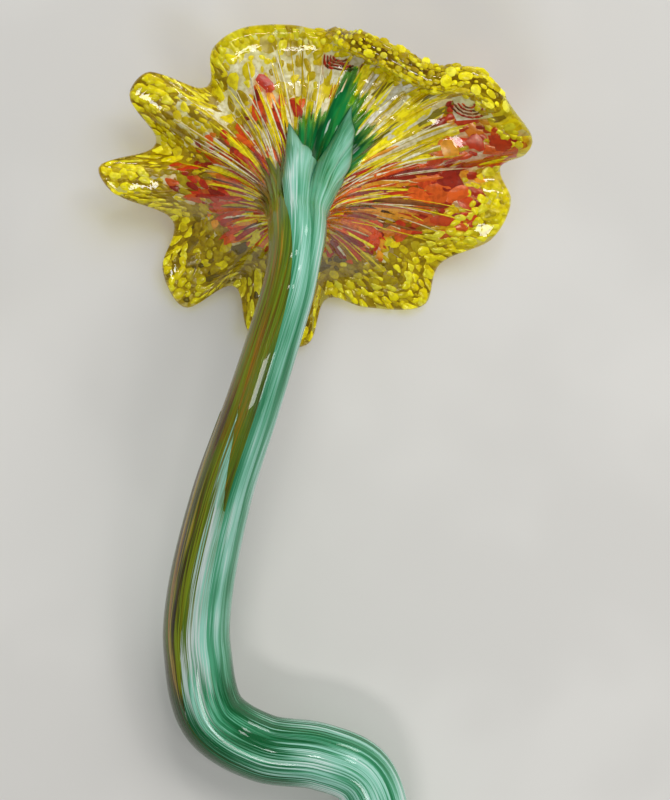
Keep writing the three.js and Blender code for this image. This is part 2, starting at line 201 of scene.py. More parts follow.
def nodded(points):
    """Points of the bell's own frame, leaned over and put where the neck stands."""
    x, y, z = np.moveaxis(np.asarray(points, float), -1, 0)
    c, s = math.cos(NOD), math.sin(NOD)
    return np.stack((x, y * c - z * s, y * s + z * c), -1) + NECK


def rim_places():
    """Heading, reach and rise of the rim at evenly spaced places along its edge."""
    heading, reach, rise = np.array(RIM, float).T
    angle = np.radians(heading)
    line = catmull(np.stack((reach * np.cos(angle), reach * np.sin(angle), rise), -1), closed=True)
    along = lengths_along(line)
    at = np.linspace(0, along[-1], COLUMNS, endpoint=False)
    x, y, z = (np.interp(at, along, line[:, k]) for k in range(3))
    return np.unwrap(np.arctan2(y, x)), np.hypot(x, y), z


RIM_HEADING, RIM_REACH, RIM_RISE = rim_places()


def bell_back():
    """Rows of places on the bell's back from neck to rim, and the way into the glass at each."""
    share = np.linspace(0, 1, ROWS + 1)[:, None]
    radius, level = profile(share, RIM_REACH[None], RIM_RISE[None])
    places = bent(np.stack((radius * np.cos(RIM_HEADING), radius * np.sin(RIM_HEADING), level), -1))
    places -= inward_from(places) * pleats(share)[..., None]
    return places, inward_from(places)


def inward_from(places):
    """The smoothed way into the glass at each place of the back."""
    along = np.gradient(places, axis=0)
    around = np.roll(places, -1, 1) - np.roll(places, 1, 1)
    inward = unit(np.cross(around, along))
    blur = np.exp(-np.linspace(-2, 2, 13) ** 2)
    return unit(sum(w * np.roll(inward, k - len(blur) // 2, 1) for k, w in enumerate(blur)))


def pleats(share):
    """How far the folds and ripples stand above the plain back."""
    around = RIM_HEADING[None]
    count, phase, height = FOLDS
    fold = np.cos(around * count + phase) * height
    fine = sum(np.sin(around * count + phase) * height for count, phase, height in RIPPLES)
    folds = fold * smoothstep(share, 0.25, 0.5) * (1 - smoothstep(share, 0.75, 1))
    return folds + fine * smoothstep(share, 0.12, 0.3) * (1 - smoothstep(share, 0.6, 0.9))


BACK, INWARD = bell_back()
OUTWARD = unit(BACK[-1] - BACK[-3])
SIDE_RADIUS, SIDE_LEVEL = profile(np.linspace(0, 1, 200), BELL_RADIUS, 0.0)
SIDE = np.stack((SIDE_RADIUS, np.zeros_like(SIDE_RADIUS), SIDE_LEVEL), -1)
MERIDIAN = lengths_along(bent(SIDE))[-1]


def in_wall(share, column, depth):
    """Places in the bell's wall: share of the way to the rim, column along the rim, depth under the back.

    A share over 1 goes on straight out from the rim.
    """
    i = np.clip(share, 0, 1) * ROWS
    j = np.mod(column, COLUMNS)
    i0 = np.minimum(i.astype(int), ROWS - 1)
    j0 = np.minimum(j.astype(int), COLUMNS - 1)
    j1 = (j0 + 1) % COLUMNS
    di, dj = (i - i0)[..., None], (j - j0)[..., None]

    def mixed(grid):
        near = grid[i0, j0] * (1 - dj) + grid[i0, j1] * dj
        far = grid[i0 + 1, j0] * (1 - dj) + grid[i0 + 1, j1] * dj
        return near * (1 - di) + far * di

    beyond = (np.maximum(share - 1, 0) * MERIDIAN)[..., None]
    return mixed(BACK) + unit(mixed(INWARD)) * depth[..., None] + OUTWARD[j0] * beyond


def column_at(heading):
    """The column of the rim that lies in a heading."""
    start = RIM_HEADING[0]
    turned = start + np.mod(heading - start, 2 * math.pi)
    return np.interp(turned, np.append(RIM_HEADING, start + 2 * math.pi), np.arange(COLUMNS + 1))


# The stem's middle line, measured from the neck
NECK_NOD = NOD + NECK_LEAN
NECK_TOP = nodded((0.0, NECK_DRIFT, 0.0))
AXIS = np.array((0.0, -math.sin(NECK_NOD), math.cos(NECK_NOD)))


def stem_line():
    """The stem's middle line, and how far each of its points is from the neck."""
    turned = np.linspace(0, 1, 5)
    leans = NECK_NOD + turned * NECK_TURN
    arc = np.stack(
        (
            -NECK_SWAY * turned**2,
            NECK_BEND * (np.cos(leans) - math.cos(NECK_NOD)),
            NECK_BEND * (np.sin(leans) - math.sin(NECK_NOD)),
        ),
        -1,
    )
    line = catmull([NECK_TOP - AXIS * NECK_RISE, NECK_TOP, *(NECK_TOP + AXIS * NECK_RISE + arc), *ROUTE])
    along = lengths_along(line)
    return line, along - along[CURVE_STEPS]


LINE, LINE_AT = stem_line()
STEM_LENGTH = LINE_AT[-1]
BARE_END = 14.0
BARE_START = STEM_LENGTH - BARE_END
LAYER = 1.7
STEM_NECK, STEM_WAIST, STEM_BELLY, STEM_TAIL = 8.0, 6.9, 9.8, 7.2
WAIST_AT, BELLY_AT = 16.0, 159.0


def stem_frame(distance):
    """Middle, top side and right side of the stem at distances from the neck."""
    d = np.clip(distance, LINE_AT[0], STEM_LENGTH)
    middle = np.stack([np.interp(d, LINE_AT, LINE[:, k]) for k in range(3)], -1)
    slope = np.gradient(LINE, axis=0)
    along = unit(np.stack([np.interp(d, LINE_AT, slope[:, k]) for k in range(3)], -1))
    top = unit(np.array((0.0, 0.0, 1.0)) - along * along[..., 2:])
    return middle, top, np.cross(top, along)


def stem_radius(distance):
    """The radius over the trails: slimmest at the waist, thickest at the belly, slim again at the tail."""
    upper = STEM_NECK + (STEM_WAIST - STEM_NECK) * smoothstep(distance, 0, WAIST_AT)
    belly = upper + (STEM_BELLY - upper) * smoothstep(distance, WAIST_AT, BELLY_AT)
    return belly + (STEM_TAIL - belly) * smoothstep(distance, BELLY_AT, STEM_LENGTH - 2 * BARE_END)


def seam(name, distance):
    """The angle of a seam at distances from the neck."""
    return np.radians(smooth_line(SEAMS[name], distance))


def on_skin(distance, angle, height):
    """Places above the rod under the trails, or for negative distances above the bell's back."""
    distance, angle, height = np.broadcast_arrays(distance, angle, height)
    middle, top, right = stem_frame(distance)
    radius = stem_radius(np.maximum(distance, 0)) - LAYER + height
    rod = middle + top * (radius * np.cos(angle))[..., None] + right * (radius * np.sin(angle))[..., None]
    share = np.maximum(-distance, 0) / MERIDIAN
    bell = nodded(in_wall(share, column_at(math.pi / 2 - angle), -height))
    return np.where((distance >= 0)[..., None], rod, bell)


# Meshes


def shut(piece, merged=True):
    """Merges a piece's seams and poles, if it has any, and turns its faces outwards."""
    bpy.ops.object.select_all(action="DESELECT")
    piece.select_set(True)
    bpy.context.view_layer.objects.active = piece
    bpy.ops.object.mode_set(mode="EDIT")
    bpy.ops.mesh.select_all(action="SELECT")
    if merged:
        bpy.ops.mesh.remove_doubles(threshold=2e-6)
    bpy.ops.mesh.normals_make_consistent(inside=False)
    bpy.ops.object.mode_set(mode="OBJECT")


def wrapped(name, places, uv, sharp=60.0, **attributes):
    """A grid primitive wrapped over rows of places, with its surface map in millimetres and attributes."""
    rows, columns = places.shape[:2]
    bpy.ops.object.select_all(action="DESELECT")
    bpy.ops.mesh.primitive_grid_add(x_subdivisions=columns - 1, y_subdivisions=rows - 1, size=1)
    piece = bpy.context.object
    piece.name = piece.data.name = name
    mesh = piece.data
    flat = np.empty(len(mesh.vertices) * 3)
    mesh.vertices.foreach_get("co", flat)
    flat = flat.reshape(-1, 3)
    i = np.rint((flat[:, 1] + 0.5) * (rows - 1)).astype(int)
    j = np.rint((flat[:, 0] + 0.5) * (columns - 1)).astype(int)
    mesh.vertices.foreach_set("co", (places[i, j] * MM).ravel())
    corner = np.empty(len(mesh.loops), int)
    mesh.loops.foreach_get("vertex_index", corner)
    mesh.uv_layers[0].data.foreach_set("uv", uv[i[corner], j[corner]].ravel())
    for key, values in attributes.items():
        mesh.attributes.new(key, "FLOAT", "POINT").data.foreach_set("value", values[i, j])
    shut(piece)
    bpy.ops.object.shade_smooth_by_angle(angle=math.radians(sharp))
    return piece


def ribbon(name, upper, lower, place, angle, spread, **attributes):
    """A closed piece between an upper and a lower skin.

    Its surface map, of place and angle times spread, and its attributes are those of the upper skin.
    """

    def ringed(first, second):
        return np.concatenate((first, second[:, ::-1], first[:, :1]), 1)

    def doubled(values):
        """Values of the upper skin for the whole ring and for the shut ends."""
        whole = ringed(values, values)
        return np.concatenate((whole[:1], whole, whole[-1:]))

    ends = ringed(lower, lower)
    places = np.concatenate((ends[:1], ringed(upper, lower), ends[-1:]))
    uv = np.stack((doubled(place), doubled(angle * spread)), -1)
    return wrapped(name, places, uv, **{key: doubled(values) for key, values in attributes.items()})


def finished(piece, material, slot, *nodes):
    """Gives a piece its glass and its body, and hides the frame nodes that it stands for. The slot is not
    used.
    """
    piece.data.materials.clear()
    piece.data.materials.append(material)
    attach(piece, "root")
    if nodes:
        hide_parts(*nodes)
    return piece


# Finishes


def tint(red, green, blue):
    """A screen colour, 0 to 255 a channel, as the linear colour that a shader takes."""
    share = np.array((red, green, blue)) / 255
    linear = np.where(share <= 0.04045, share / 12.92, ((share + 0.055) / 1.055) ** 2.4)
    return (*linear, 1.0)


class Finish:
    """A node material under construction."""

    def __init__(self, name):
        self.material = bpy.data.materials.new(name)
        self.material.use_nodes = True
        self.nodes = self.material.node_tree.nodes
        self.links = self.material.node_tree.links
        self.shader = self.nodes["Principled BSDF"]
        self.output = self.nodes["Material Output"]

    def node(self, kind, values=(), **settings):
        made = self.nodes.new(kind)
        for key, value in settings.items():
            setattr(made, key, value)
        for key, value in dict(values).items():
            self.feed(made.inputs[key], value)
        return made

    def feed(self, socket, value):
        """Links a socket to another one, or sets its value."""
        if isinstance(value, bpy.types.NodeSocket):
            self.links.new(value, socket)
        else:
            socket.default_value = value

    def set(self, **values):
        for key, value in values.items():
            self.feed(self.shader.inputs[key.replace("_", " ")], value)

    def ramp(self, source, stops):
        """A colour ramp over source, from stops of place and colour."""
        made = self.node("ShaderNodeValToRGB", {"Fac": source})
        bar = made.color_ramp
        bar.interpolation = "EASE"
        while len(bar.elements) < len(stops):
            bar.elements.new(1.0)
        for element, (place, colour) in zip(bar.elements, stops):
            element.position = place
            element.color = colour
        return made.outputs["Color"]

    def attribute(self, name, kind="Fac"):
        """One of the piece's own attributes."""
        return self.node("ShaderNodeAttribute", attribute_name=name).outputs[kind]

    def surface(self, scale, shift=(0.0, 0.0, 0.0), turn=0.0):
        """The piece's own surface map, in millimetres, scaled, turned and shifted."""
        uv = self.node("ShaderNodeUVMap")
        made = self.node(
            "ShaderNodeMapping",
            {"Vector": uv.outputs["UV"], "Scale": scale, "Location": shift, "Rotation": (0, 0, turn)},
        )
        return made.outputs["Vector"]

    def noise(self, vector, scale=1.0, detail=3.0, rough=0.5, wander=0.0):
        made = self.node(
            "ShaderNodeTexNoise",
            {"Vector": vector, "Scale": scale, "Detail": detail, "Roughness": rough, "Distortion": wander},
        )
        return made.outputs["Fac"]

    def math(self, kind, first, second):
        """One step of arithmetic."""
        return self.node("ShaderNodeMath", {0: first, 1: second}, operation=kind).outputs[0]

    def range(self, value, low, high):
        """A smooth step of value from 0 at low to 1 at high."""
        made = self.node(
            "ShaderNodeMapRange",
            {"Value": value, "From Min": low, "From Max": high},
            interpolation_type="SMOOTHSTEP",
        )
        return made.outputs["Result"]

    def mix(self, share, first, second, kind="MIX"):
        made = self.node("ShaderNodeMix", data_type="RGBA", blend_type=kind)
        for socket, value in ((made.inputs[0], share), (made.inputs[6], first), (made.inputs[7], second)):
            self.feed(socket, value)
        return made.outputs[2]

    def bump(self, height, distance):
        made = self.node("ShaderNodeBump", {"Height": height, "Distance": distance})
        self.set(Normal=made.outputs["Normal"])

    def lets_lamps_through(self, colour, share=1.0):
        """A share of the lamp light and of light from dull surfaces goes straight through the glass."""
        path = self.node("ShaderNodeLightPath")
        either = self.math("MAXIMUM", path.outputs["Is Shadow Ray"], path.outputs["Is Diffuse Ray"])
        clear = self.node("ShaderNodeBsdfTransparent", {"Color": colour})
        both = self.node(
            "ShaderNodeMixShader",
            {0: self.math("MULTIPLY", either, share), 1: self.shader.outputs[0], 2: clear.outputs[0]},
        )
        self.feed(self.output.inputs["Surface"], both.outputs[0])


MINT = tint(146, 203, 182)
PALE_MINT = tint(202, 223, 215)
GREY_MINT = tint(178, 200, 190)
GREY_WHITE = tint(206, 216, 211)
SEA_GREEN = tint(80, 158, 120)
LEAF_GREEN = tint(40, 118, 76)
EMERALD = tint(8, 84, 42)
OLIVE = tint(112, 110, 6)
MOSS = tint(84, 112, 26)
DARK_MOSS = tint(58, 74, 20)
LEAF_OLIVE = tint(120, 138, 26)
AMBER = tint(158, 108, 12)
BROWN = tint(92, 66, 16)
STRAW = tint(164, 144, 40)


def bell_glass():
    """Clear glass with a yellow cast, a little wavy from the blowing."""
    f = Finish("bell_glass")
    waves = f.noise(f.surface((0.05, 0.14, 1.0)), detail=2.0)
    cast = f.ramp(waves, ((0.4, tint(254, 254, 246)), (0.6, tint(251, 250, 232))))
    colour = f.mix(f.attribute("fade"), cast, tint(250, 248, 140))
    f.set(Base_Color=colour, Roughness=0.03, IOR=1.5, Transmission_Weight=1.0)
    grain = f.noise(f.surface((0.22, 0.34, 1.0)), detail=2.0)
    f.bump(f.math("ADD", waves, f.math("MULTIPLY", grain, 0.3)), 0.0006)
    f.lets_lamps_through(tint(253, 252, 236))
    return f.material


def frit_glass(name, glow):
    """Melted chips, each with its own colour, cloudy at the scale of a grain."""
    f = Finish(name)
    own = f.attribute("chip_colour", "Color")
    place = f.node("ShaderNodeTexCoord").outputs["Object"]
    cloud = f.noise(place, scale=700.0, detail=3.0)
    shaded = f.mix(f.range(cloud, 0.58, 0.36), own, tint(226, 220, 190), "MULTIPLY")
    f.set(Base_Color=shaded, Roughness=0.22, IOR=1.5)
    f.lets_lamps_through(glow, 0.9)
    return f.material


# Ramps of the greens that the trails share at the bend and beyond it
# The bend's ramp is darker: partly the glass's own deeper green, partly painted shade on the bend, which lies
# on the lower left away from the window lamp
BEND_GREENS_AND_SHADE = ((0.47, EMERALD), (0.54, LEAF_GREEN), (0.61, SEA_GREEN), (0.69, MINT))
TAIL_GREENS = ((0.40, LEAF_GREEN), (0.47, SEA_GREEN), (0.54, MINT), (0.62, PALE_MINT))

# Streaked glasses: the ramp at the neck, then from where to where along the stem each later ramp takes over,
# the neighbours' colours on the left and on the right, the colour of the thin ends, and the streaks' fineness
STREAKS = {
    "mint_glass": (
        ((0.35, LEAF_GREEN), (0.41, SEA_GREEN), (0.47, tint(118, 184, 154)), (0.53, MINT), (0.6, PALE_MINT)),
        (((126, 148), BEND_GREENS_AND_SHADE), ((170, 202), TAIL_GREENS)),
        (LEAF_GREEN, SEA_GREEN), (SEA_GREEN, MINT), EMERALD, 0.5,
    ),
    "white_glass": (
        ((0.40, BROWN), (0.46, OLIVE), (0.51, MOSS), (0.57, SEA_GREEN)),
        (
            ((54, 80), ((0.36, SEA_GREEN), (0.42, MINT), (0.48, GREY_MINT), (0.56, GREY_WHITE))),
            ((126, 148), BEND_GREENS_AND_SHADE),
            ((170, 202), TAIL_GREENS),
        ),
        (OLIVE, MOSS), (MOSS, MINT), EMERALD, 0.5,
    ),
    "grey_green_glass": (
        (
            (0.41, tint(60, 46, 14)), (0.47, DARK_MOSS), (0.52, tint(96, 90, 8)), (0.58, MOSS),
            (0.65, SEA_GREEN),
        ),
        (((140, 168), BEND_GREENS_AND_SHADE), ((170, 202), TAIL_GREENS)),
        (DARK_MOSS, LEAF_GREEN), (BROWN, MOSS), EMERALD, 0.5,
    ),
    "amber_glass": (
        (
            (0.39, BROWN), (0.43, AMBER), (0.46, MOSS), (0.5, LEAF_OLIVE), (0.54, OLIVE), (0.58, AMBER),
            (0.64, STRAW),
        ),
        (
            (
                # Further along, the amber runs darker: partly its own browner glass, partly painted shade on
                # the lower left part of the stem, away from the window lamp
                (34, 104),
                (
                    (0.42, tint(40, 34, 12)), (0.47, tint(70, 52, 14)), (0.51, DARK_MOSS), (0.56, OLIVE),
                    (0.64, STRAW),
                ),
            ),
            ((142, 162), BEND_GREENS_AND_SHADE),
        ),
        (AMBER, STRAW), (OLIVE, LEAF_OLIVE), BROWN, 1.0,
    ),
    "olive_glass": (
        ((0.38, BROWN), (0.42, OLIVE), (0.47, MOSS), (0.52, LEAF_OLIVE), (0.57, AMBER), (0.63, STRAW)),
        (((34, 74), ((0.40, DARK_MOSS), (0.46, MOSS), (0.5, OLIVE), (0.56, BROWN), (0.62, STRAW))),),
        (AMBER, MOSS), (DARK_MOSS, MOSS), BROWN, 1.0,
    ),
    "core_glass": (
        ((0.4, OLIVE), (0.5, MOSS), (0.6, STRAW)),
        (((150, 200), ((0.4, LEAF_GREEN), (0.46, SEA_GREEN), (0.52, MINT), (0.6, PALE_MINT))),),
        (MOSS, MINT), (MOSS, MINT), EMERALD, 0.5,
    ),
}

# How far single streaks run ahead along the stem and across a seam, and where the running across ends
RAGGED = 110.0
STRAY = 5.0
BLEND_END = (158.0, 134.0)


def streaked(name):
    """Drawn glass in long streaks, which change along the stem and run into the neighbours near the seams."""
    first, stages, left, right, deep, fineness = STREAKS[name]
    f = Finish(name)
    broad = f.noise(f.surface((0.018, fineness, 1.0), turn=0.06), detail=4.0, rough=0.6, wander=0.5)
    fine = f.noise(f.surface((0.022, 2.4, 1.0), shift=(7.0, 3.0, 0.0), turn=0.04), detail=3.0, rough=0.6)
    patch = f.noise(f.surface((0.035, 0.11, 1.0), shift=(2.0, 9.0, 0.0), turn=0.1), detail=1.0)
    lines = f.math("ADD", f.math("MULTIPLY", broad, 0.55), f.math("MULTIPLY", fine, 0.45))
    lines = f.math("ADD", lines, f.math("MULTIPLY", f.math("SUBTRACT", patch, 0.5), 0.45))
    uneven = f.math("SUBTRACT", fine, 0.5)
    uv = f.node("ShaderNodeUVMap").outputs["UV"]
    along = f.node("ShaderNodeSeparateXYZ", {0: uv}).outputs["X"]
    ragged = f.math("ADD", along, f.math("MULTIPLY", uneven, RAGGED))
    colour = f.ramp(lines, first)
    for change, later in stages:
        colour = f.mix(f.range(ragged, *change), colour, f.ramp(lines, later))
    stray = f.math("MULTIPLY", uneven, STRAY)
    above = f.range(along, *BLEND_END)
    for side, neighbour in (("near_left", left), ("near_right", right)):
        near = f.math("MULTIPLY", f.attribute(side), above)
        spread = f.math("ADD", near, f.math("MULTIPLY", near, stray))
        mixed = f.ramp(lines, ((0.4, neighbour[0]), (0.6, neighbour[1])))
        colour = f.mix(f.range(spread, 0.35, 0.8), colour, mixed)
    colour = f.mix(f.attribute("fade"), colour, deep)
    f.set(Base_Color=colour, Roughness=0.16, IOR=1.5, Specular_IOR_Level=0.14)
    f.set(Coat_Weight=0.6, Coat_Roughness=0.03)
    f.bump(lines, 0.0006)
    return f.material


def calyx_glass():
    """Dark green glass that thins out to nothing at its feathered border."""
    f = Finish("calyx_glass")
    lines = f.noise(f.surface((0.03, 0.16, 1.0)), detail=3.0, rough=0.5)
    green = f.ramp(lines, ((0.4, tint(0, 66, 26)), (0.5, tint(0, 94, 42)), (0.6, tint(20, 126, 58))))
    stray = f.math("MULTIPLY", f.math("SUBTRACT", lines, 0.5), 0.55)
    border = f.range(f.math("ADD", f.attribute("fade"), stray), 0.4, 0.9)
    f.set(
        Base_Color=f.mix(border, green, tint(120, 170, 70)),
        Roughness=0.06,
        IOR=1.5,
        Alpha=f.range(border, 1.0, 0.1),
    )
    f.bump(lines, 0.0003)
    f.lets_lamps_through(tint(150, 205, 130))
    return f.material


# Sizes that a user would change


class LilySizes(bpy.types.PropertyGroup):
    """What a maker could choose anew."""

    crown: bpy.props.FloatProperty(
        name="Trail crown",
        description="How far a trail's middle stands above its edges",
        default=0.00015,
        min=0.0,
        max=0.001,
        unit="LENGTH",
        precision=5,
    )
    chip_thickness: bpy.props.FloatProperty(
        name="Chip thickness",
        description="Thickness of a melted chip in the bell's wall",
        default=0.0003,
        min=0.0002,
        max=0.0012,
        unit="LENGTH",
        precision=5,
    )
    chip_count: bpy.props.IntProperty(
        name="Chips",
        description="How many chips are strewn in the bell's wall, a quarter of the places that are tried",
        default=1700,
        min=100,
        max=3200,
    )
    seed: bpy.props.IntProperty(
        name="Strewing",
        description="Number that fixes how the chips fall",
        default=11,
        min=0,
    )


# The bell

SHARES = np.linspace(0, 1, ROWS + 1)
LIP_BULGE = 0.45
BELL_SPREAD = 20


def wall_thickness(share, rise):
    """The wall, thicker where the lip is rolled back on itself."""
    return BELL_WALL + ROLL_SWELL * np.maximum(0, rise - ROLL_RISE) * curled(share) ** 3


WALL = wall_thickness(SHARES[:, None], RIM_RISE[None])


class LILY_OT_bell(bpy.types.Operator):
    """Blow the bell with its lobes, its rolled lip and its hollow"""

    bl_idname = "lily.bell"
    bl_label = "Bell"

    def execute(self, context):
        front = BACK + INWARD * WALL[..., None]
        middle = (BACK[-1] + front[-1]) / 2
        thick = WALL[-1][:, None]
        lip = [
            middle - INWARD[-1] * thick / 2 * math.cos(turn) + OUTWARD * thick * LIP_BULGE * math.sin(turn)
            for turn in np.radians((30, 60, 90, 120, 150))
        ]
        open_rows = SHARES >= THROAT_START
        hollow = front[open_rows][::-1]
        neck = np.broadcast_to(BACK[0].mean(0), BACK[0].shape)
        throat = np.broadcast_to(hollow[-1].mean(0), BACK[0].shape)
        places = np.concatenate((neck[None], BACK, lip, hollow, throat[None]))
        places = np.concatenate((places, places[:, :1]), 1)
        along = lengths_along(places[:, 0])
        around = np.append(RIM_HEADING, RIM_HEADING[0] + 2 * math.pi) * BELL_SPREAD
        uv = np.stack(np.broadcast_arrays(along[:, None], around[None]), -1)
        edge = smoothstep(SHARES, 0.84, 0.97)
        rim = np.concatenate(([0], edge, np.ones(len(lip)), edge[open_rows][::-1], [0]))
        fade = np.broadcast_to(rim[:, None], places.shape[:2])
        bell = wrapped("glass_bell", nodded(places), uv, fade=fade)
        finished(bell, bell_glass(), "bell_glass", "blossom_bell")
        return {"FINISHED"}


# Frit in the bell's wall

CELL_ALONG = np.linalg.norm(np.diff(BACK, axis=0), axis=-1)
CELL_AROUND = np.linalg.norm(np.roll(BACK, -1, 1) - BACK, axis=-1)[:-1]
CELL_HEADING = np.degrees(RIM_HEADING) % 360

# Where red chips lie: heading, from and to which share of the way to the rim, their share of all chips
RED_BANDS = (
    (0, 0.5, 0.95, 0.95), (6, 0.6, 0.98, 0.97), (12, 0.72, 0.99, 0.95), (20, 0.8, 0.97, 0.9),
    (26, 0.85, 0.95, 0.5), (32, 0.88, 0.92, 0.0),
    (75, 0.45, 0.55, 0.05), (90, 0.35, 0.64, 0.4), (112, 0.3, 0.7, 0.75), (128, 0.3, 0.55, 0.45),
    (145, 0.3, 0.6, 0.55), (170, 0.35, 0.74, 0.65), (185, 0.35, 0.74, 0.65), (200, 0.35, 0.66, 0.55),
    (215, 0.35, 0.66, 0.4), (235, 0.4, 0.5, 0.05), (270, 0.4, 0.5, 0.1), (285, 0.3, 0.5, 0.4),
    (300, 0.3, 0.66, 0.65), (320, 0.3, 0.7, 0.65), (340, 0.4, 0.9, 0.85), (360, 0.5, 0.95, 0.95),
)

# White glass behind the chips, by heading: the rest is mustard yellow
WHITE_BED = (
    (0, 0.95), (20, 1), (120, 1), (145, 0.6), (185, 0.4), (205, 0.1), (290, 0.1), (325, 0.4), (345, 0.8),
    (360, 0.95),
)

# Share of deeper yellow among the chips, by heading, most on the lower left lobes: partly the frit's own
# deeper yellow, partly painted shade on the lobes that lie away from the window lamp
DEEP_TONES_AND_SHADE = (
    (0, 0.3), (20, 0.25), (60, 0.3), (100, 0.35), (125, 0.35), (150, 0.5), (185, 0.5), (215, 0.88),
    (280, 0.8), (330, 0.55), (360, 0.3),
)
# Tones under this take the dark chips: partly the frit's own dark olive, partly painted shade, most of them
# on the lower left lobes
DARKEST = -0.55

# Glass drawn out near the neck: heading, how far, then shares of red, orange, yellow, olive, brown and pale
DRAWN = (
    (0, 0.66, 0.42, 0.1, 0.04, 0.02, 0.26, 0.16), (8, 0.68, 0.26, 0.1, 0.14, 0.03, 0.14, 0.33),
    (20, 0.7, 0.0, 0.04, 0.42, 0.06, 0.03, 0.45),
    (40, 0.84, 0.0, 0.02, 0.45, 0.03, 0.0, 0.5), (66, 0.82, 0.0, 0.03, 0.46, 0.03, 0.0, 0.48),
    (80, 0.5, 0.02, 0.06, 0.5, 0.08, 0.02, 0.32), (110, 0.44, 0.34, 0.06, 0.26, 0.08, 0.08, 0.18),
    (150, 0.5, 0.34, 0.05, 0.25, 0.12, 0.1, 0.14), (190, 0.5, 0.42, 0.06, 0.24, 0.08, 0.1, 0.1),
    (230, 0.46, 0.3, 0.1, 0.4, 0.1, 0.1, 0.0), (270, 0.42, 0.3, 0.1, 0.35, 0.05, 0.1, 0.1),
    (310, 0.54, 0.46, 0.14, 0.16, 0.0, 0.12, 0.12), (340, 0.62, 0.44, 0.12, 0.04, 0.02, 0.26, 0.12),
    (360, 0.66, 0.42, 0.1, 0.04, 0.02, 0.26, 0.16),
)

# Swirls: heading, share of the way to the rim, degrees from that way to where the half rings bulge, and scale
SWIRLS = ((72.5, 0.85, 180, 1.25), (26, 0.93, -114, 1.0))
SWIRL_RINGS = (1.6, 2.7, 3.8, 4.9)
SWIRL_REACH = 5.2
SWIRL_SHIFT = 1.8

# How many patches are strewn, how many places are tried for each chip, and how many rim chips, threads
# and hairs there are
BED = {"mustard": 560, "bright": 90, "deep": 120, "white": 420}
CHOICE = 4
FLAT_CHIPS, PROUD_CHIPS, LIP_LUMPS = 1100, 900, 1200
THREADS, HAIRS = 820, 170

# Places along the lip: where its chips begin, how far lumps stand out and where chips are cut off
RIM_START = 0.84
LUMP_BULGE = 0.44
LUMP_LENGTH = 0.55
LIP_END = 0.3
PAST_CHIP = 0.5

# Large blocks of the long lobe: heading, share of the way to the rim, length, width and colours
BLOCKS = ((12, 0.77, 6.0, 5.5, "orange"), (12.5, 0.86, 5.0, 5.5, "red"), (11.5, 0.94, 6.0, 6.0, "red"))

COLOURS = {
    "red": ((222, 76, 22), (212, 60, 18), (184, 44, 14), (228, 96, 26), (154, 36, 14)),
    "orange": ((228, 130, 26), (220, 108, 28), (236, 160, 40)),
    "yellow": ((248, 232, 10), (242, 222, 0), (228, 206, 0), (200, 178, 0), (250, 238, 40)),
    "bright": ((250, 236, 14), (244, 228, 0), (234, 214, 0), (252, 242, 60)),
    "olive": ((150, 136, 14), (128, 120, 16), (168, 150, 18)),
    "brown": ((124, 70, 32), (98, 60, 26), (150, 94, 46)),
    "pale": ((242, 238, 226), (236, 228, 208), (248, 246, 238), (230, 214, 180)),
    "white": ((242, 240, 230), (236, 232, 218), (246, 244, 238)),
    # Mustard bed: partly the frit's own colour, partly painted shade between the chips
    "mustard": ((172, 146, 0), (162, 136, 0), (182, 156, 0)),
    "deep": ((196, 172, 0), (182, 158, 0), (206, 184, 0), (174, 148, 0), (220, 200, 0)),
    # Dark olive chips: partly the frit's own colour, partly painted shade
    "dark": ((114, 94, 4), (134, 110, 0), (150, 126, 0)),
}


def rolled(heading):
    """Where the lip is rolled back, 0 to 1."""
    return window(heading, 18, 26, 72, 84)


def under_roll(heading):
    """Where the back lies open below the roll, 0 to 1."""
    return window(heading, 20, 32, 70, 82)


def at_top(heading, start, full):
    """Where the flat lobe beside the roll is, 0 to 1."""
    return window(heading, start, full, 122, 132)


def at_tip(heading):
    """How near a heading is to the long lobe's tip, 0 to 1."""
    return 1 - smoothstep(np.minimum(heading, 360 - heading), 10, 24)


def off_swirls(share, heading):
    """0 where a swirl lies and 1 elsewhere."""
    free = 1.0
    for middle, way, _, scale in SWIRLS:
        gap = np.hypot((share - way) * MERIDIAN, np.radians(heading - middle) * BELL_RADIUS)
        free = free * ((gap > SWIRL_REACH * scale) | (share > way + 0.01))
    return free


def by_heading(table, heading):
    """The columns of a table of headings, in between its rows."""
    rows = np.array(table, float)
    return np.stack([np.interp(heading, rows[:, 0], column) for column in rows.T[1:]], -1)


def strewn(rng, count, thickly):
    """Share and column of places strewn over the back, as thickly as a function of share and heading says."""
    middles = (SHARES[1:] + SHARES[:-1]) / 2
    weight = CELL_ALONG * CELL_AROUND * thickly(middles[:, None], CELL_HEADING[None])
    cell = rng.choice(weight.size, count, p=(weight / weight.sum()).ravel())
    row, column = np.divmod(cell, COLUMNS)
    return (row + rng.random(count)) / ROWS, column + rng.random(count)


def apart(share, column, size, under=0.0):
    """Which of the strewn places stay, when each keeps its size's distance from those before it."""
    spots = in_wall(share, column, np.broadcast_to(under, len(share)))
    kept = []
    for i, spot in enumerate(spots):
        gaps = np.linalg.norm(spots[kept] - spot, axis=1)
        if (gaps > size[kept] + size[i]).all():
            kept.append(i)
    return np.array(kept)


def chip_form():
    """One chip, rounded all over, of radius 1: its points and its faces, in a fixed order."""
    bpy.ops.object.select_all(action="DESELECT")
    bpy.ops.mesh.primitive_uv_sphere_add(segments=10, ring_count=4, radius=1)
    ball = bpy.context.object
    points = np.array([vertex.co for vertex in ball.data.vertices])
    faces = sorted(tuple(face.vertices) for face in ball.data.polygons)
    bpy.data.objects.remove(ball)
    return points, faces


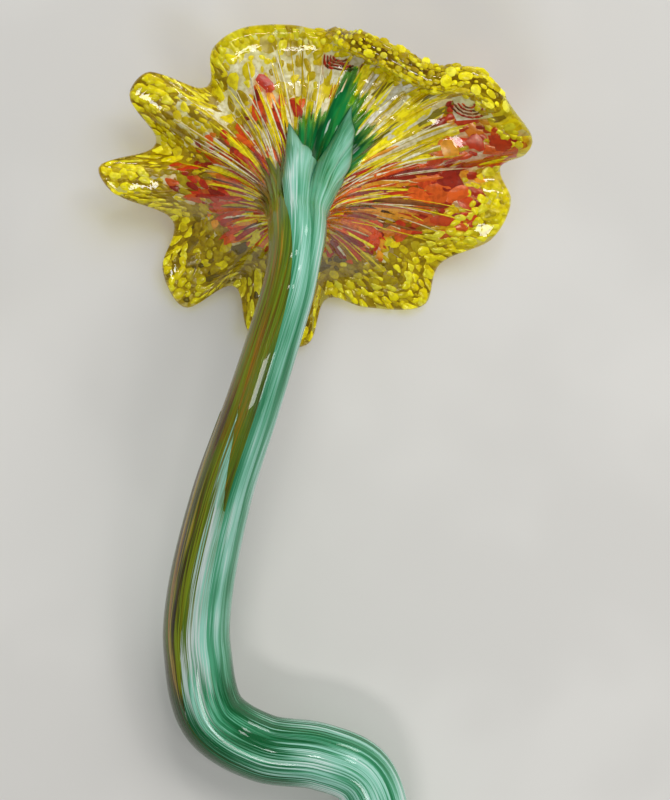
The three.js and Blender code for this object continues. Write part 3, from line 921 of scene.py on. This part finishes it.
class Strewing:
    """Chips of one kind of glass, collected before they are melted into the wall as one piece."""

    def __init__(self, rng):
        self.rng = rng
        self.rows = []

    def add(self, share, column, length, width, thickness, depth, turn, colours):
        """Adds chips. depth is a share of the wall, turn an angle from the way to the rim."""
        count = len(share)
        tints = np.array([tint(*colour)[:3] for colour in colours])
        pick = tints[self.rng.integers(len(colours), size=count)] * self.rng.uniform(0.82, 1.08, (count, 1))
        values = (share, column, length, width, thickness, depth, turn)
        columns = [np.broadcast_to(value, count) for value in values]
        self.rows.append(np.column_stack((*columns, pick)))

    def melt(self, name, material, slot):
        """Makes one piece of all the chips."""
        share, column, length, width, thickness, depth, turn, *colour = np.concatenate(self.rows).T
        form, faces = chip_form()
        count, points = len(share), len(form)
        rng = self.rng
        blunt = rng.uniform(0.55, 1.0, (count, 1))
        swell = 1 + 0.2 * np.sin(
            np.arctan2(form[:, 1], form[:, 0])[None] * rng.integers(2, 4, (count, 1))
            + rng.uniform(0, 2 * math.pi, (count, 1))
        )
        x, y = (np.sign(form[:, k]) * np.abs(form[:, k]) ** blunt * swell for k in (0, 1))
        x, y = x * length[:, None] / 2, y * width[:, None] / 2
        c, s = np.cos(turn)[:, None], np.sin(turn)[:, None]
        row = np.minimum((share * ROWS).astype(int), ROWS - 1)
        cell = column.astype(int) % COLUMNS
        onward = share[:, None] + (x * c - y * s) / (CELL_ALONG[row, cell] * ROWS)[:, None]
        around = column[:, None] + (x * s + y * c) / np.maximum(CELL_AROUND[row, cell], 0.25)[:, None]
        under = (depth * WALL[row, cell])[:, None] + form[:, 2][None] * thickness[:, None] / 2
        edge = np.maximum(1 + LIP_END * WALL[-1, cell] / MERIDIAN, share + PAST_CHIP / MERIDIAN)[:, None]
        places = nodded(in_wall(np.clip(onward, 0.012, edge), around, under)) * MM
        shifts = np.arange(count) * points
        corners = [tuple(np.add(face, shift)) for shift in shifts for face in faces]
        mesh = bpy.data.meshes.new(name)
        mesh.from_pydata(places.reshape(-1, 3), [], corners)
        colours = np.repeat(np.column_stack((*colour, np.ones(count))), points, 0)
        mesh.attributes.new("chip_colour", "FLOAT_COLOR", "POINT").data.foreach_set("color", colours.ravel())
        piece = bpy.data.objects.new(name, mesh)
        bpy.context.scene.collection.objects.link(piece)
        shut(piece, merged=False)
        bpy.ops.object.shade_smooth_by_angle(angle=math.radians(50))
        return finished(piece, material, slot)


def heading_of(column):
    """The heading, in degrees, of places along the rim."""
    return CELL_HEADING[column.astype(int) % COLUMNS]


class LILY_OT_frit(bpy.types.Operator):
    """Melt the yellow, red and pale chips and the drawn threads into the bell's wall"""

    bl_idname = "lily.frit"
    bl_label = "Frit"

    def execute(self, context):
        sizes = context.scene.lily_sizes
        rng = np.random.default_rng(sizes.seed)
        thick = sizes.chip_thickness / MM
        bed, white, yellow, red, pale = (Strewing(rng) for _ in range(5))
        self.lay_bed(rng, bed, white)
        self.lay_chips(rng, sizes.chip_count, thick, yellow, red)
        self.lay_rim(rng, thick, yellow)
        self.lay_drawn(rng, thick, yellow, red, pale)
        self.lay_swirls(thick, red, pale)
        glow, clear = tint(254, 250, 170), tint(252, 248, 232)
        bed.melt("mustard_patches", frit_glass("mustard_frit", glow), "yellow_frit")
        white.melt("white_patches", frit_glass("white_frit", clear), "white_glass")
        yellow.melt("yellow_chips", frit_glass("yellow_frit", glow), "yellow_frit")
        red.melt("red_chips", frit_glass("red_frit", tint(250, 190, 140)), "red_frit")
        pale.melt("pale_threads", frit_glass("pale_frit", clear), "white_glass")
        return {"FINISHED"}

    def lay_bed(self, rng, bed, white):
        """Large patches near the inner wall: white above, mustard below, deep at the roll, bright beside."""

        def whiteness(share, heading):
            end = 0.8 + 0.1 * at_top(heading, 76, 86) + 0.14 * at_tip(heading)
            return np.interp(heading, *np.array(WHITE_BED).T) * (1 - smoothstep(share, end, end + 0.06))

        # Mustard, the darker bed, lies under the left and lower lobes and shows between the chips: partly the
        # frit's own mustard, partly painted shade between the chips and away from the window lamp
        def dullness(heading):
            return window(heading, 110, 150, 325, 345)

        def yellowness(share, heading):
            return (1 - whiteness(share, heading)) * smoothstep(share, 0.25, 0.5)

        for home, name, thickly in (
            (bed, "mustard", lambda s, h: yellowness(s, h) * dullness(h)),
            (bed, "bright", lambda s, h: yellowness(s, h) * (1 - dullness(h)) * (1 - rolled(h))),
            (bed, "deep", lambda s, h: yellowness(s, h) * rolled(h)),
            (white, "white", lambda s, h: whiteness(s, h) * smoothstep(s, 0.1, 0.3)),
        ):
            amount = BED[name]
            share, column = strewn(rng, amount, thickly)
            home.add(
                share, column, rng.uniform(5, 10, amount), rng.uniform(3.5, 6, amount), 0.4,
                rng.uniform(0.72, 0.84, amount), rng.normal(0, 0.3, amount), COLOURS[name],
            )

    def lay_chips(self, rng, amount, thick, yellow, red):
        """Chips of one to five millimetres all over, red in their bands, with a little room between them."""

        def thickly(share, heading):
            bare = window(heading, 24, 34, 64, 80) * (1 - smoothstep(share, 0.86, 0.92))
            return smoothstep(share, 0.22, 0.45) * (1 - 0.95 * bare) * off_swirls(share, heading)

        share, column = strewn(rng, CHOICE * amount, thickly)
        count = len(share)
        heading = heading_of(column)
        low, high, part = by_heading(RED_BANDS, heading).T
        inside = window(share, low - 0.05, low + 0.04, high - 0.04, high + 0.05)
        is_red = rng.random(count) < part * inside
        stretch = 1 + (1.2 + is_red) * (1 - smoothstep(share, 0.3, 0.7))
        blocks = is_red * smoothstep(share, 0.45, 0.6) * smoothstep(np.abs(heading - 180), 130, 155)
        upper = window(heading, 12, 30, 130, 165)
        bulk = rng.gamma(6, 1 / 6, count).clip(0.45, 2.1) * (1 + 0.7 * blocks + 0.1 * upper * ~is_red)
        length = bulk * rng.uniform(2.3, 4.0, count) * stretch
        width = bulk * rng.uniform(1.8, 2.8, count)
        room = np.sqrt(length * width) * np.where(is_red, 0.31, 0.38 + 0.15 * upper)
        kept = apart(share, column, room)
        everything = (share, column, length, width, is_red)
        share, column, length, width, is_red = (values[kept] for values in everything)
        count = len(kept)
        depth = np.where(is_red, rng.uniform(0.14, 0.3, count), rng.uniform(0.2, 0.6, count))
        turn = rng.normal(0, 0.35, count) * smoothstep(share, 0.3, 0.7)
        # Deeper and dark yellows, which partly paint shade, fall more often on the lower and left lobes
        tone = rng.random(count) - np.interp(heading_of(column), *np.array(DEEP_TONES_AND_SHADE).T)
        for home, chosen, colours in (
            (yellow, ~is_red & (tone >= 0), COLOURS["yellow"]),
            (yellow, ~is_red & (tone < 0) & (tone > DARKEST), COLOURS["deep"]),
            (yellow, ~is_red & (tone <= DARKEST), COLOURS["dark"]),
            (red, is_red, COLOURS["red"] * 2 + COLOURS["orange"]),
        ):
            home.add(
                share[chosen], column[chosen], length[chosen], width[chosen], thick,
                depth[chosen], turn[chosen], colours,
            )

    def lay_rim(self, rng, thick, yellow):
        """Small bright chips close together along the lip, proud on both sides and on the end of the roll."""

        def start(heading):
            early = (1 - smoothstep(heading, 24, 40)) * (heading < 90)
            return RIM_START + 0.05 * at_top(heading, 84, 90) + 0.08 * early

        def flat(share, heading):
            return smoothstep(share, start(heading), start(heading) + 0.04) * (1 - rolled(heading))

        def proud(share, heading):
            begun = smoothstep(share, start(heading), start(heading) + 0.03)
            return begun * rolled(heading) * off_swirls(share, heading)

        both = COLOURS["bright"] + COLOURS["deep"][2:]
        for candidates, thickly, thickness, depth, colours in (
            (FLAT_CHIPS, flat, 1.4 * thick, (0.1, 0.3), COLOURS["bright"]),
            (PROUD_CHIPS, proud, 0.8, (-0.01, 0.03), both),
            (PROUD_CHIPS, proud, 0.8, (0.97, 1.01), both),
        ):
            share, column = strewn(rng, candidates, thickly)
            share = share + rng.uniform(0, 0.012, candidates)
            width = rng.uniform(1.7, 3.0, candidates)
            length = width * rng.uniform(1.0, 1.5, candidates)
            kept = apart(share, column, np.sqrt(length * width) * 0.4)
            yellow.add(
                share[kept], column[kept], length[kept], width[kept], thickness,
                rng.uniform(*depth, len(kept)), rng.normal(0, 0.6, len(kept)), colours,
            )
        _, column = strewn(rng, LIP_LUMPS, proud)
        lip = WALL[-1, column.astype(int) % COLUMNS]
        turn = rng.uniform(0.25, math.pi - 0.25, LIP_LUMPS)
        share = 1 + LUMP_BULGE * lip * np.sin(turn) / MERIDIAN
        depth = (1 - np.cos(turn)) / 2
        width = rng.gamma(7, 0.33, LIP_LUMPS).clip(1.1, 3.4)
        tall = width * rng.uniform(0.6, 1.1, LIP_LUMPS)
        kept = apart(share, column, np.sqrt(width * tall) * 0.4, depth * lip)
        yellow.add(
            share[kept], column[kept], LUMP_LENGTH, width[kept], tall[kept], depth[kept],
            rng.normal(0, 0.15, len(kept)), both,
        )

    def lay_drawn(self, rng, thick, yellow, red, pale):
        """Long thin streaks and threads where the glass was drawn out toward the neck."""

        def thickly(share, heading):
            reach = np.interp(heading, *np.array(DRAWN).T[:2])
            return window(share, 0.03, 0.16, reach - 0.14, reach + 0.1) * (1 - 0.5 * under_roll(heading))

        names = ("red", "orange", "yellow", "olive", "brown", "pale")
        homes = (red, red, yellow, yellow, yellow, pale)
        amount = THREADS
        share, column = strewn(rng, amount, thickly)
        heading = heading_of(column)
        reach, *parts = by_heading(DRAWN, heading).T
        parts = np.cumsum(parts, 0).T
        kind = (rng.random((amount, 1)) * parts[:, -1:] > parts).sum(1)
        slim = (kind >= names.index("brown")) & (under_roll(heading) < 0.3)
        length = rng.uniform(12, 26, amount) * (0.35 + reach)
        width = rng.uniform(0.6, 1.5, amount) * (0.5 + 1.4 * share) * (1 + 0.5 * under_roll(heading))
        width = width * np.where(slim, 0.55, 1)
        depth = rng.uniform(0.1, 0.4, amount)
        for k, (name, home) in enumerate(zip(names, homes)):
            chosen = kind == k
            home.add(
                share[chosen], column[chosen], length[chosen], width[chosen], thick,
                depth[chosen], rng.normal(0, 0.05, chosen.sum()), COLOURS[name],
            )

        def threaded(share, heading):
            return window(share, 0.1, 0.3, 0.5, 0.8) * np.interp(heading, *np.array(WHITE_BED).T) ** 2

        share, column = strewn(rng, HAIRS, threaded)
        pale.add(
            share, column, rng.uniform(14, 30, HAIRS), 0.4, 0.3,
            rng.uniform(0.08, 0.2, HAIRS), rng.normal(0, 0.06, HAIRS), COLOURS["pale"] + COLOURS["yellow"],
        )

    def lay_swirls(self, thick, red, pale):
        """Half rings on white, where the lip was turned over, and the largest blocks."""
        for heading, share, facing, scale in SWIRLS:
            column = column_at(math.radians(heading))
            broad = CELL_AROUND[int(share * ROWS), int(column) % COLUMNS]
            facing = math.radians(facing)
            reach = SWIRL_REACH * scale
            pale.add(
                np.array([share + SWIRL_SHIFT * math.cos(facing) / MERIDIAN]),
                np.array([column + SWIRL_SHIFT * math.sin(facing) / broad]),
                2 * reach, 1.8 * reach, thick, 0.12, facing + math.pi / 2, COLOURS["white"],
            )
            for ring in scale * np.array(SWIRL_RINGS):
                angle = facing + np.linspace(-1.4, 1.4, 9)
                red.add(
                    share + ring * np.cos(angle) / MERIDIAN, column + ring * np.sin(angle) / broad,
                    ring * 0.44, 0.7, thick, 0.03, angle + math.pi / 2, COLOURS["red"][2:] + COLOURS["brown"],
                )
        for heading, share, length, width, name in BLOCKS:
            column = column_at(math.radians(heading))
            red.add(np.array([share]), np.array([column]), length, width, thick, 0.1, 0.0, COLOURS[name])


# Trails and sepals

ACROSS = 24
SEAM_BLEND = 4.0
STEM_SPREAD = 8
TRAIL_LIFT = 0.08
SPIKE_SEED = 5

# Where the trails that don't run the whole way begin and end, by distance from the neck
AMBER_START, AMBER_END = -17.0, 153.6
OLIVE_START, OLIVE_END = -19.0, 85.0
WHITE_START = 55.0
OUTER_START = 60.0

# The left sepal's tip and the knot on its left edge, which the olive glass follows too
LEFT_TIP = (-29, -9)
LEFT_EDGE = ((-17, -17),)

# Trails with sepals: piece, node, left seam, right seam, the sepal's tip, knots down its left edge and its
# right edge, and how far it stands off the bell's back
SEPALS = (
    ("left_sepal", "left_sepal_trail", "sepal", "cleft", LEFT_TIP, LEFT_EDGE, ((-21, 3),), 0.9),
    (
        "right_sepal", "right_sepal_trail", "cleft", "right", (-41, 33),
        ((-32, 32), (-22, 30)), ((-37, 38), (-31, 48), (-20, 64), (-14.5, 74)), 0.9,
    ),
    ("under_right_sepal", "under_right_trail", "right", "under", (-10, 112), (), ((-6, 130),), 0.0),
    ("under_left_sepal", "under_left_trail", "under", "back", (-18, 194), ((-13, 178),), ((-13, 210),), 0.0),
)

# How far the green patch reaches up the bell's back, by degrees clockwise from the stem's top side
CALYX_REACH = (
    (-12, 6), (-6, 22), (-1, 30), (6, 34), (14, 33), (20, 37), (25, 59), (30, 50), (36, 46),
    (42, 42), (50, 39), (58, 36), (65, 30), (70, 20), (76, 8),
)
CALYX_FOOT = 2
CALYX_LIFT = 0.05
CALYX_THICKNESS = 0.75
CALYX_SPREAD = 30


def trail(name, distance, left, right, under, thickness, thin, fade, crown):
    """A ribbon of glass on the skin. distance, the edges and all that follows run along its length."""
    across = np.linspace(0, 1, ACROSS + 1)[None]
    bow = (2 * across - 1) ** 2
    low, high = np.minimum(left, right)[:, None], np.maximum(left, right)[:, None]
    angle = low + (high - low) * across
    place = np.broadcast_to(distance, angle.shape)
    top = under[:, None] + thickness[:, None] * (1 - thin[:, None] * bow**2) + crown * (1 - bow)
    bottom = np.broadcast_to(under[:, None], angle.shape)
    wide = (high - low) * STEM_SPREAD / SEAM_BLEND
    return ribbon(
        name, on_skin(place, angle, top), on_skin(place, angle, bottom), place, angle, STEM_SPREAD,
        fade=np.clip(fade, 0, 1),
        near_left=np.clip(1 - across * wide, 0, 1),
        near_right=np.clip(1 - (1 - across) * wide, 0, 1),
    )


def edge_from(tip, knots, name, distance):
    """A sepal's edge: from its tip to where the seam begins, then the seam."""
    first = SEAMS[name][0]
    beyond = np.radians(smooth_line((tip, *knots, first), distance))
    return np.where(distance < first[0], beyond, seam(name, distance))


class LILY_OT_calyx(bpy.types.Operator):
    """Lay the dark green patch under the two top sepals"""

    bl_idname = "lily.calyx"
    bl_label = "Calyx"

    def execute(self, context):
        first, last = CALYX_REACH[0][0], CALYX_REACH[-1][0]
        degrees = np.arange(first, last + 0.01, 0.5)
        spikes = 1 + 0.05 * np.sin(degrees * 0.9) + 0.05 * np.sin(degrees * 1.7 + 1)
        reach = smooth_line(CALYX_REACH, degrees) * spikes
        run = np.linspace(0, 1, 41)[:, None]
        distance = -CALYX_FOOT - run * (reach - CALYX_FOOT)[None]
        sides = smoothstep(degrees, first, first + 8), 1 - smoothstep(degrees, last - 10, last)
        side = np.minimum(*sides)[None]
        height = CALYX_THICKNESS * (1 - run**2) * side + 0.02
        angle = np.broadcast_to(np.radians(degrees), distance.shape)
        upper = on_skin(distance, angle, CALYX_LIFT + height)
        lower = on_skin(distance, angle, CALYX_LIFT)
        fade = np.clip(run**3 * 0.9 + (1 - side) * 0.6, 0, 1)
        patch = ribbon("calyx_patch", upper, lower, distance, angle, CALYX_SPREAD, fade=fade)
        finished(patch, calyx_glass(), "calyx_glass", "green_calyx")
        return {"FINISHED"}


# The bare end's swelling, from the last trail to the ground face
BEAD_SWELL = ((0, 0.73), (0.35, 1), (0.65, 1), (0.9, 0.55), (1, 0))
FACE_RADIUS = 5


class LILY_OT_core(bpy.types.Operator):
    """Draw the stem's core with its bare rounded end, ground flat"""

    bl_idname = "lily.core"
    bl_label = "Stem core"

    def execute(self, context):
        rod = np.linspace(-1, BARE_START, 220)
        bead = np.linspace(0, 1, 24)
        swell = smooth_line(BEAD_SWELL, bead)
        distance = np.concatenate((rod[:1], rod, BARE_START + BARE_END * bead, [STEM_LENGTH]))
        radius = np.concatenate(([0], stem_radius(np.maximum(rod, 0)) - LAYER, FACE_RADIUS + 3 * swell, [0]))
        turn = np.linspace(0, 2 * math.pi, 65)
        middle, top, right = (values[:, None] for values in stem_frame(distance))
        ways = top * np.cos(turn)[None, :, None] + right * np.sin(turn)[None, :, None]
        uv = np.stack(np.broadcast_arrays(distance[:, None], turn[None] * STEM_SPREAD), -1)
        core = wrapped("core_rod", middle + radius[:, None, None] * ways, uv, sharp=50)
        finished(core, streaked("core_glass"), "core_glass", "stem_core")
        return {"FINISHED"}


class LILY_OT_trails(bpy.types.Operator):
    """Lay the trails along the stem, four of them ending as sepals"""

    bl_idname = "lily.trails"
    bl_label = "Trails"

    def execute(self, context):
        crown = context.scene.lily_sizes.crown / MM
        mint = streaked("mint_glass")
        across = np.abs(np.linspace(-1, 1, ACROSS + 1))[None]
        for name, node, left, right, tip, left_knots, right_knots, over in SEPALS:
            bell = np.linspace(tip[0], 0, 70, endpoint=False)
            distance = np.concatenate((bell, np.arange(0, BARE_START, 1.5), [BARE_START]))
            up = -np.minimum(distance, 0)
            run = up / -tip[0]
            under = TRAIL_LIFT + over * smoothstep(up, 0, 7)
            thickness = 0.12 + (LAYER - 0.2) * smoothstep(distance - tip[0], 0, 16)
            thin = 0.8 * smoothstep(up, 0, 9)
            dark = smoothstep(up, 3, 14)[:, None] * (across**3 * 0.75) + (run**5 * 0.8)[:, None]
            piece = trail(
                name, distance[:, None],
                edge_from(tip, left_knots, left, distance), edge_from(tip, right_knots, right, distance),
                under, thickness, thin, dark, crown,
            )
            finished(piece, mint, "mint_glass", node)
        self.pointed(crown)
        return {"FINISHED"}

    def pointed(self, crown):
        """Trails that begin or end in a point on the stem, two of them drawn out over the bell's back."""
        spikes = np.random.default_rng(SPIKE_SEED).uniform(0.45, 1.1, ACROSS + 1)[None]

        def laid(name, node, glass, start, end, left, right):
            distance = np.concatenate((np.arange(start, end, 1.2), [end]))
            up = -np.minimum(distance, 0)
            stretch = np.where(distance[:, None] < 0, spikes, 1.0) if start < 0 else 1.0
            thickness = 0.06 + (LAYER - 0.14) * (1 - smoothstep(up, 0, -min(start, -1)))
            fade = 0.5 * smoothstep(up, 6, 26)[:, None] * np.ones((1, ACROSS + 1))
            piece = trail(
                name, distance[:, None] * stretch, left(distance), right(distance),
                np.full(len(distance), TRAIL_LIFT), thickness, 0.6 * smoothstep(up, 0, 8), fade, crown,
            )
            finished(piece, streaked(glass), glass, node)

        laid(
            "amber_streak", "amber_trail", "amber_glass", AMBER_START, AMBER_END,
            lambda d: np.where(d < OUTER_START, seam("left", d), seam("outer", d)),
            lambda d: np.where(d < WHITE_START, seam("amber", d), seam("white_left", d)),
        )
        laid(
            "olive_streak", "olive_trail", "olive_glass", OLIVE_START, OLIVE_END,
            lambda d: np.where(d < WHITE_START, seam("amber", d), seam("white_right", d)),
            lambda d: edge_from(LEFT_TIP, LEFT_EDGE, "sepal", d),
        )
        laid(
            "white_streak", "white_trail", "white_glass", WHITE_START, BARE_START,
            lambda d: seam("white_left", d),
            lambda d: np.where(d <= OLIVE_END, seam("white_right", d), seam("sepal", d)),
        )
        laid(
            "outer_streak", "outer_left_trail", "grey_green_glass", OUTER_START, BARE_START,
            lambda d: seam("left", d),
            lambda d: seam("outer", d),
        )


# Stage, in metres

FLOOR_DROP = 0.0003
CAMERA_PLACE = (0.00611, 0.08142, 0.55)
CAMERA_SENSOR = 36
CAMERA_LENS = 82.5
LAMP_AIM = Vector((0, 0.08, 0.03))
SKY_COLOUR = (0.92, 0.96, 1.0, 1.0)
SKY_STRENGTH, SKY_MIRRORED = 0.34, 0.1

# Lamps: name, place, width and height, watts and whether the glass mirrors them
LAMPS = (
    ("window_lamp", (0.5, 0.8, 1.1), (1.1, 0.9), 11.6, False),
    ("near_lamp", (-0.45, -0.65, 1.1), (1.0, 1.2), 0.4, False),
    ("right_glint", (0.55, 0.45, 1.0), (0.1, 0.14), 0.5, True),
    ("stem_glint", (-0.14, -0.46, 0.77), (0.34, 0.12), 1.5, True),
    ("low_glint", (0.55, 0.8, 0.32), (0.2, 0.2), 1.0, True),
    ("top_glint", (0.16, 0.1, 0.9), (0.07, 0.09), 0.3, True),
    ("far_glint", (0.05, 0.75, 0.95), (0.14, 0.08), 0.6, True),
)


class LILY_OT_stage(bpy.types.Operator):
    """Set the pale floor, the soft lamps and the camera"""

    bl_idname = "lily.stage"
    bl_label = "Stage"

    def execute(self, context):
        self.floor()
        for lamp in LAMPS:
            self.lamp(*lamp)
        self.sky(context)
        bpy.ops.object.camera_add(location=CAMERA_PLACE, rotation=(0, 0, 0))
        camera = bpy.context.object
        camera.name = "camera"
        camera.data.sensor_fit = "VERTICAL"
        camera.data.sensor_height = CAMERA_SENSOR
        camera.data.lens = CAMERA_LENS
        context.scene.camera = camera
        context.scene.view_settings.view_transform = "Standard"
        context.scene.cycles.transparent_max_bounces = 32
        return {"FINISHED"}

    def floor(self):
        """A wide pale floor, just under the flower."""
        bpy.ops.object.select_all(action="DESELECT")
        bpy.ops.mesh.primitive_plane_add(size=6, location=(0, 0, -FLOOR_DROP))
        floor = bpy.context.object
        floor.name = "floor"
        bpy.ops.object.transform_apply(location=True, rotation=True, scale=True)
        f = Finish("floor_paint")
        cloud = f.noise(f.node("ShaderNodeTexCoord").outputs["Object"], scale=9.0)
        paint = f.ramp(cloud, ((0.4, tint(210, 207, 201)), (0.6, tint(217, 214, 208))))
        f.set(Base_Color=paint, Roughness=0.7)
        floor.data.materials.append(f.material)

    def lamp(self, name, place, size, watts, mirrored):
        """An oblong lamp that points at the flower."""
        facing = (LAMP_AIM - Vector(place)).to_track_quat("-Z", "Y").to_euler()
        bpy.ops.object.light_add(type="AREA", location=place, rotation=facing)
        lamp = bpy.context.object
        lamp.name = name
        lamp.data.shape = "RECTANGLE"
        lamp.data.size, lamp.data.size_y = size
        lamp.data.energy = watts
        lamp.visible_glossy = mirrored

    def sky(self, context):
        """An even sky, dimmer where the glass mirrors it."""
        world = bpy.data.worlds.new("sky")
        context.scene.world = world
        world.use_nodes = True
        nodes, links = world.node_tree.nodes, world.node_tree.links
        sky = nodes["Background"]
        sky.inputs["Color"].default_value = SKY_COLOUR
        path = nodes.new("ShaderNodeLightPath")
        dimmed = nodes.new("ShaderNodeMapRange")
        dimmed.inputs["To Min"].default_value = SKY_STRENGTH
        dimmed.inputs["To Max"].default_value = SKY_MIRRORED
        links.new(path.outputs["Is Glossy Ray"], dimmed.inputs["Value"])
        links.new(dimmed.outputs["Result"], sky.inputs["Strength"])


OPERATORS = (
    LILY_OT_bell,
    LILY_OT_frit,
    LILY_OT_calyx,
    LILY_OT_core,
    LILY_OT_trails,
    LILY_OT_stage,
)


class LILY_PT_panel(bpy.types.Panel):
    """The flower's pieces and sizes"""

    bl_idname = "LILY_PT_panel"
    bl_label = "Glass Lily"
    bl_space_type = "VIEW_3D"
    bl_region_type = "UI"
    bl_category = "Lily"

    def draw(self, context):
        for name in LilySizes.__annotations__:
            self.layout.prop(context.scene.lily_sizes, name)
        for operator in OPERATORS:
            self.layout.operator(operator.bl_idname)


CLASSES = (LilySizes, *OPERATORS, LILY_PT_panel)


def register():
    for cls in CLASSES:
        bpy.utils.register_class(cls)
    bpy.types.Scene.lily_sizes = bpy.props.PointerProperty(type=LilySizes)


def unregister():
    del bpy.types.Scene.lily_sizes
    for cls in reversed(CLASSES):
        bpy.utils.unregister_class(cls)


def main():
    register()
    for operator in OPERATORS:
        group, name = operator.bl_idname.split(".")
        getattr(getattr(bpy.ops, group), name)()


if __name__ == "__main__":
    main()
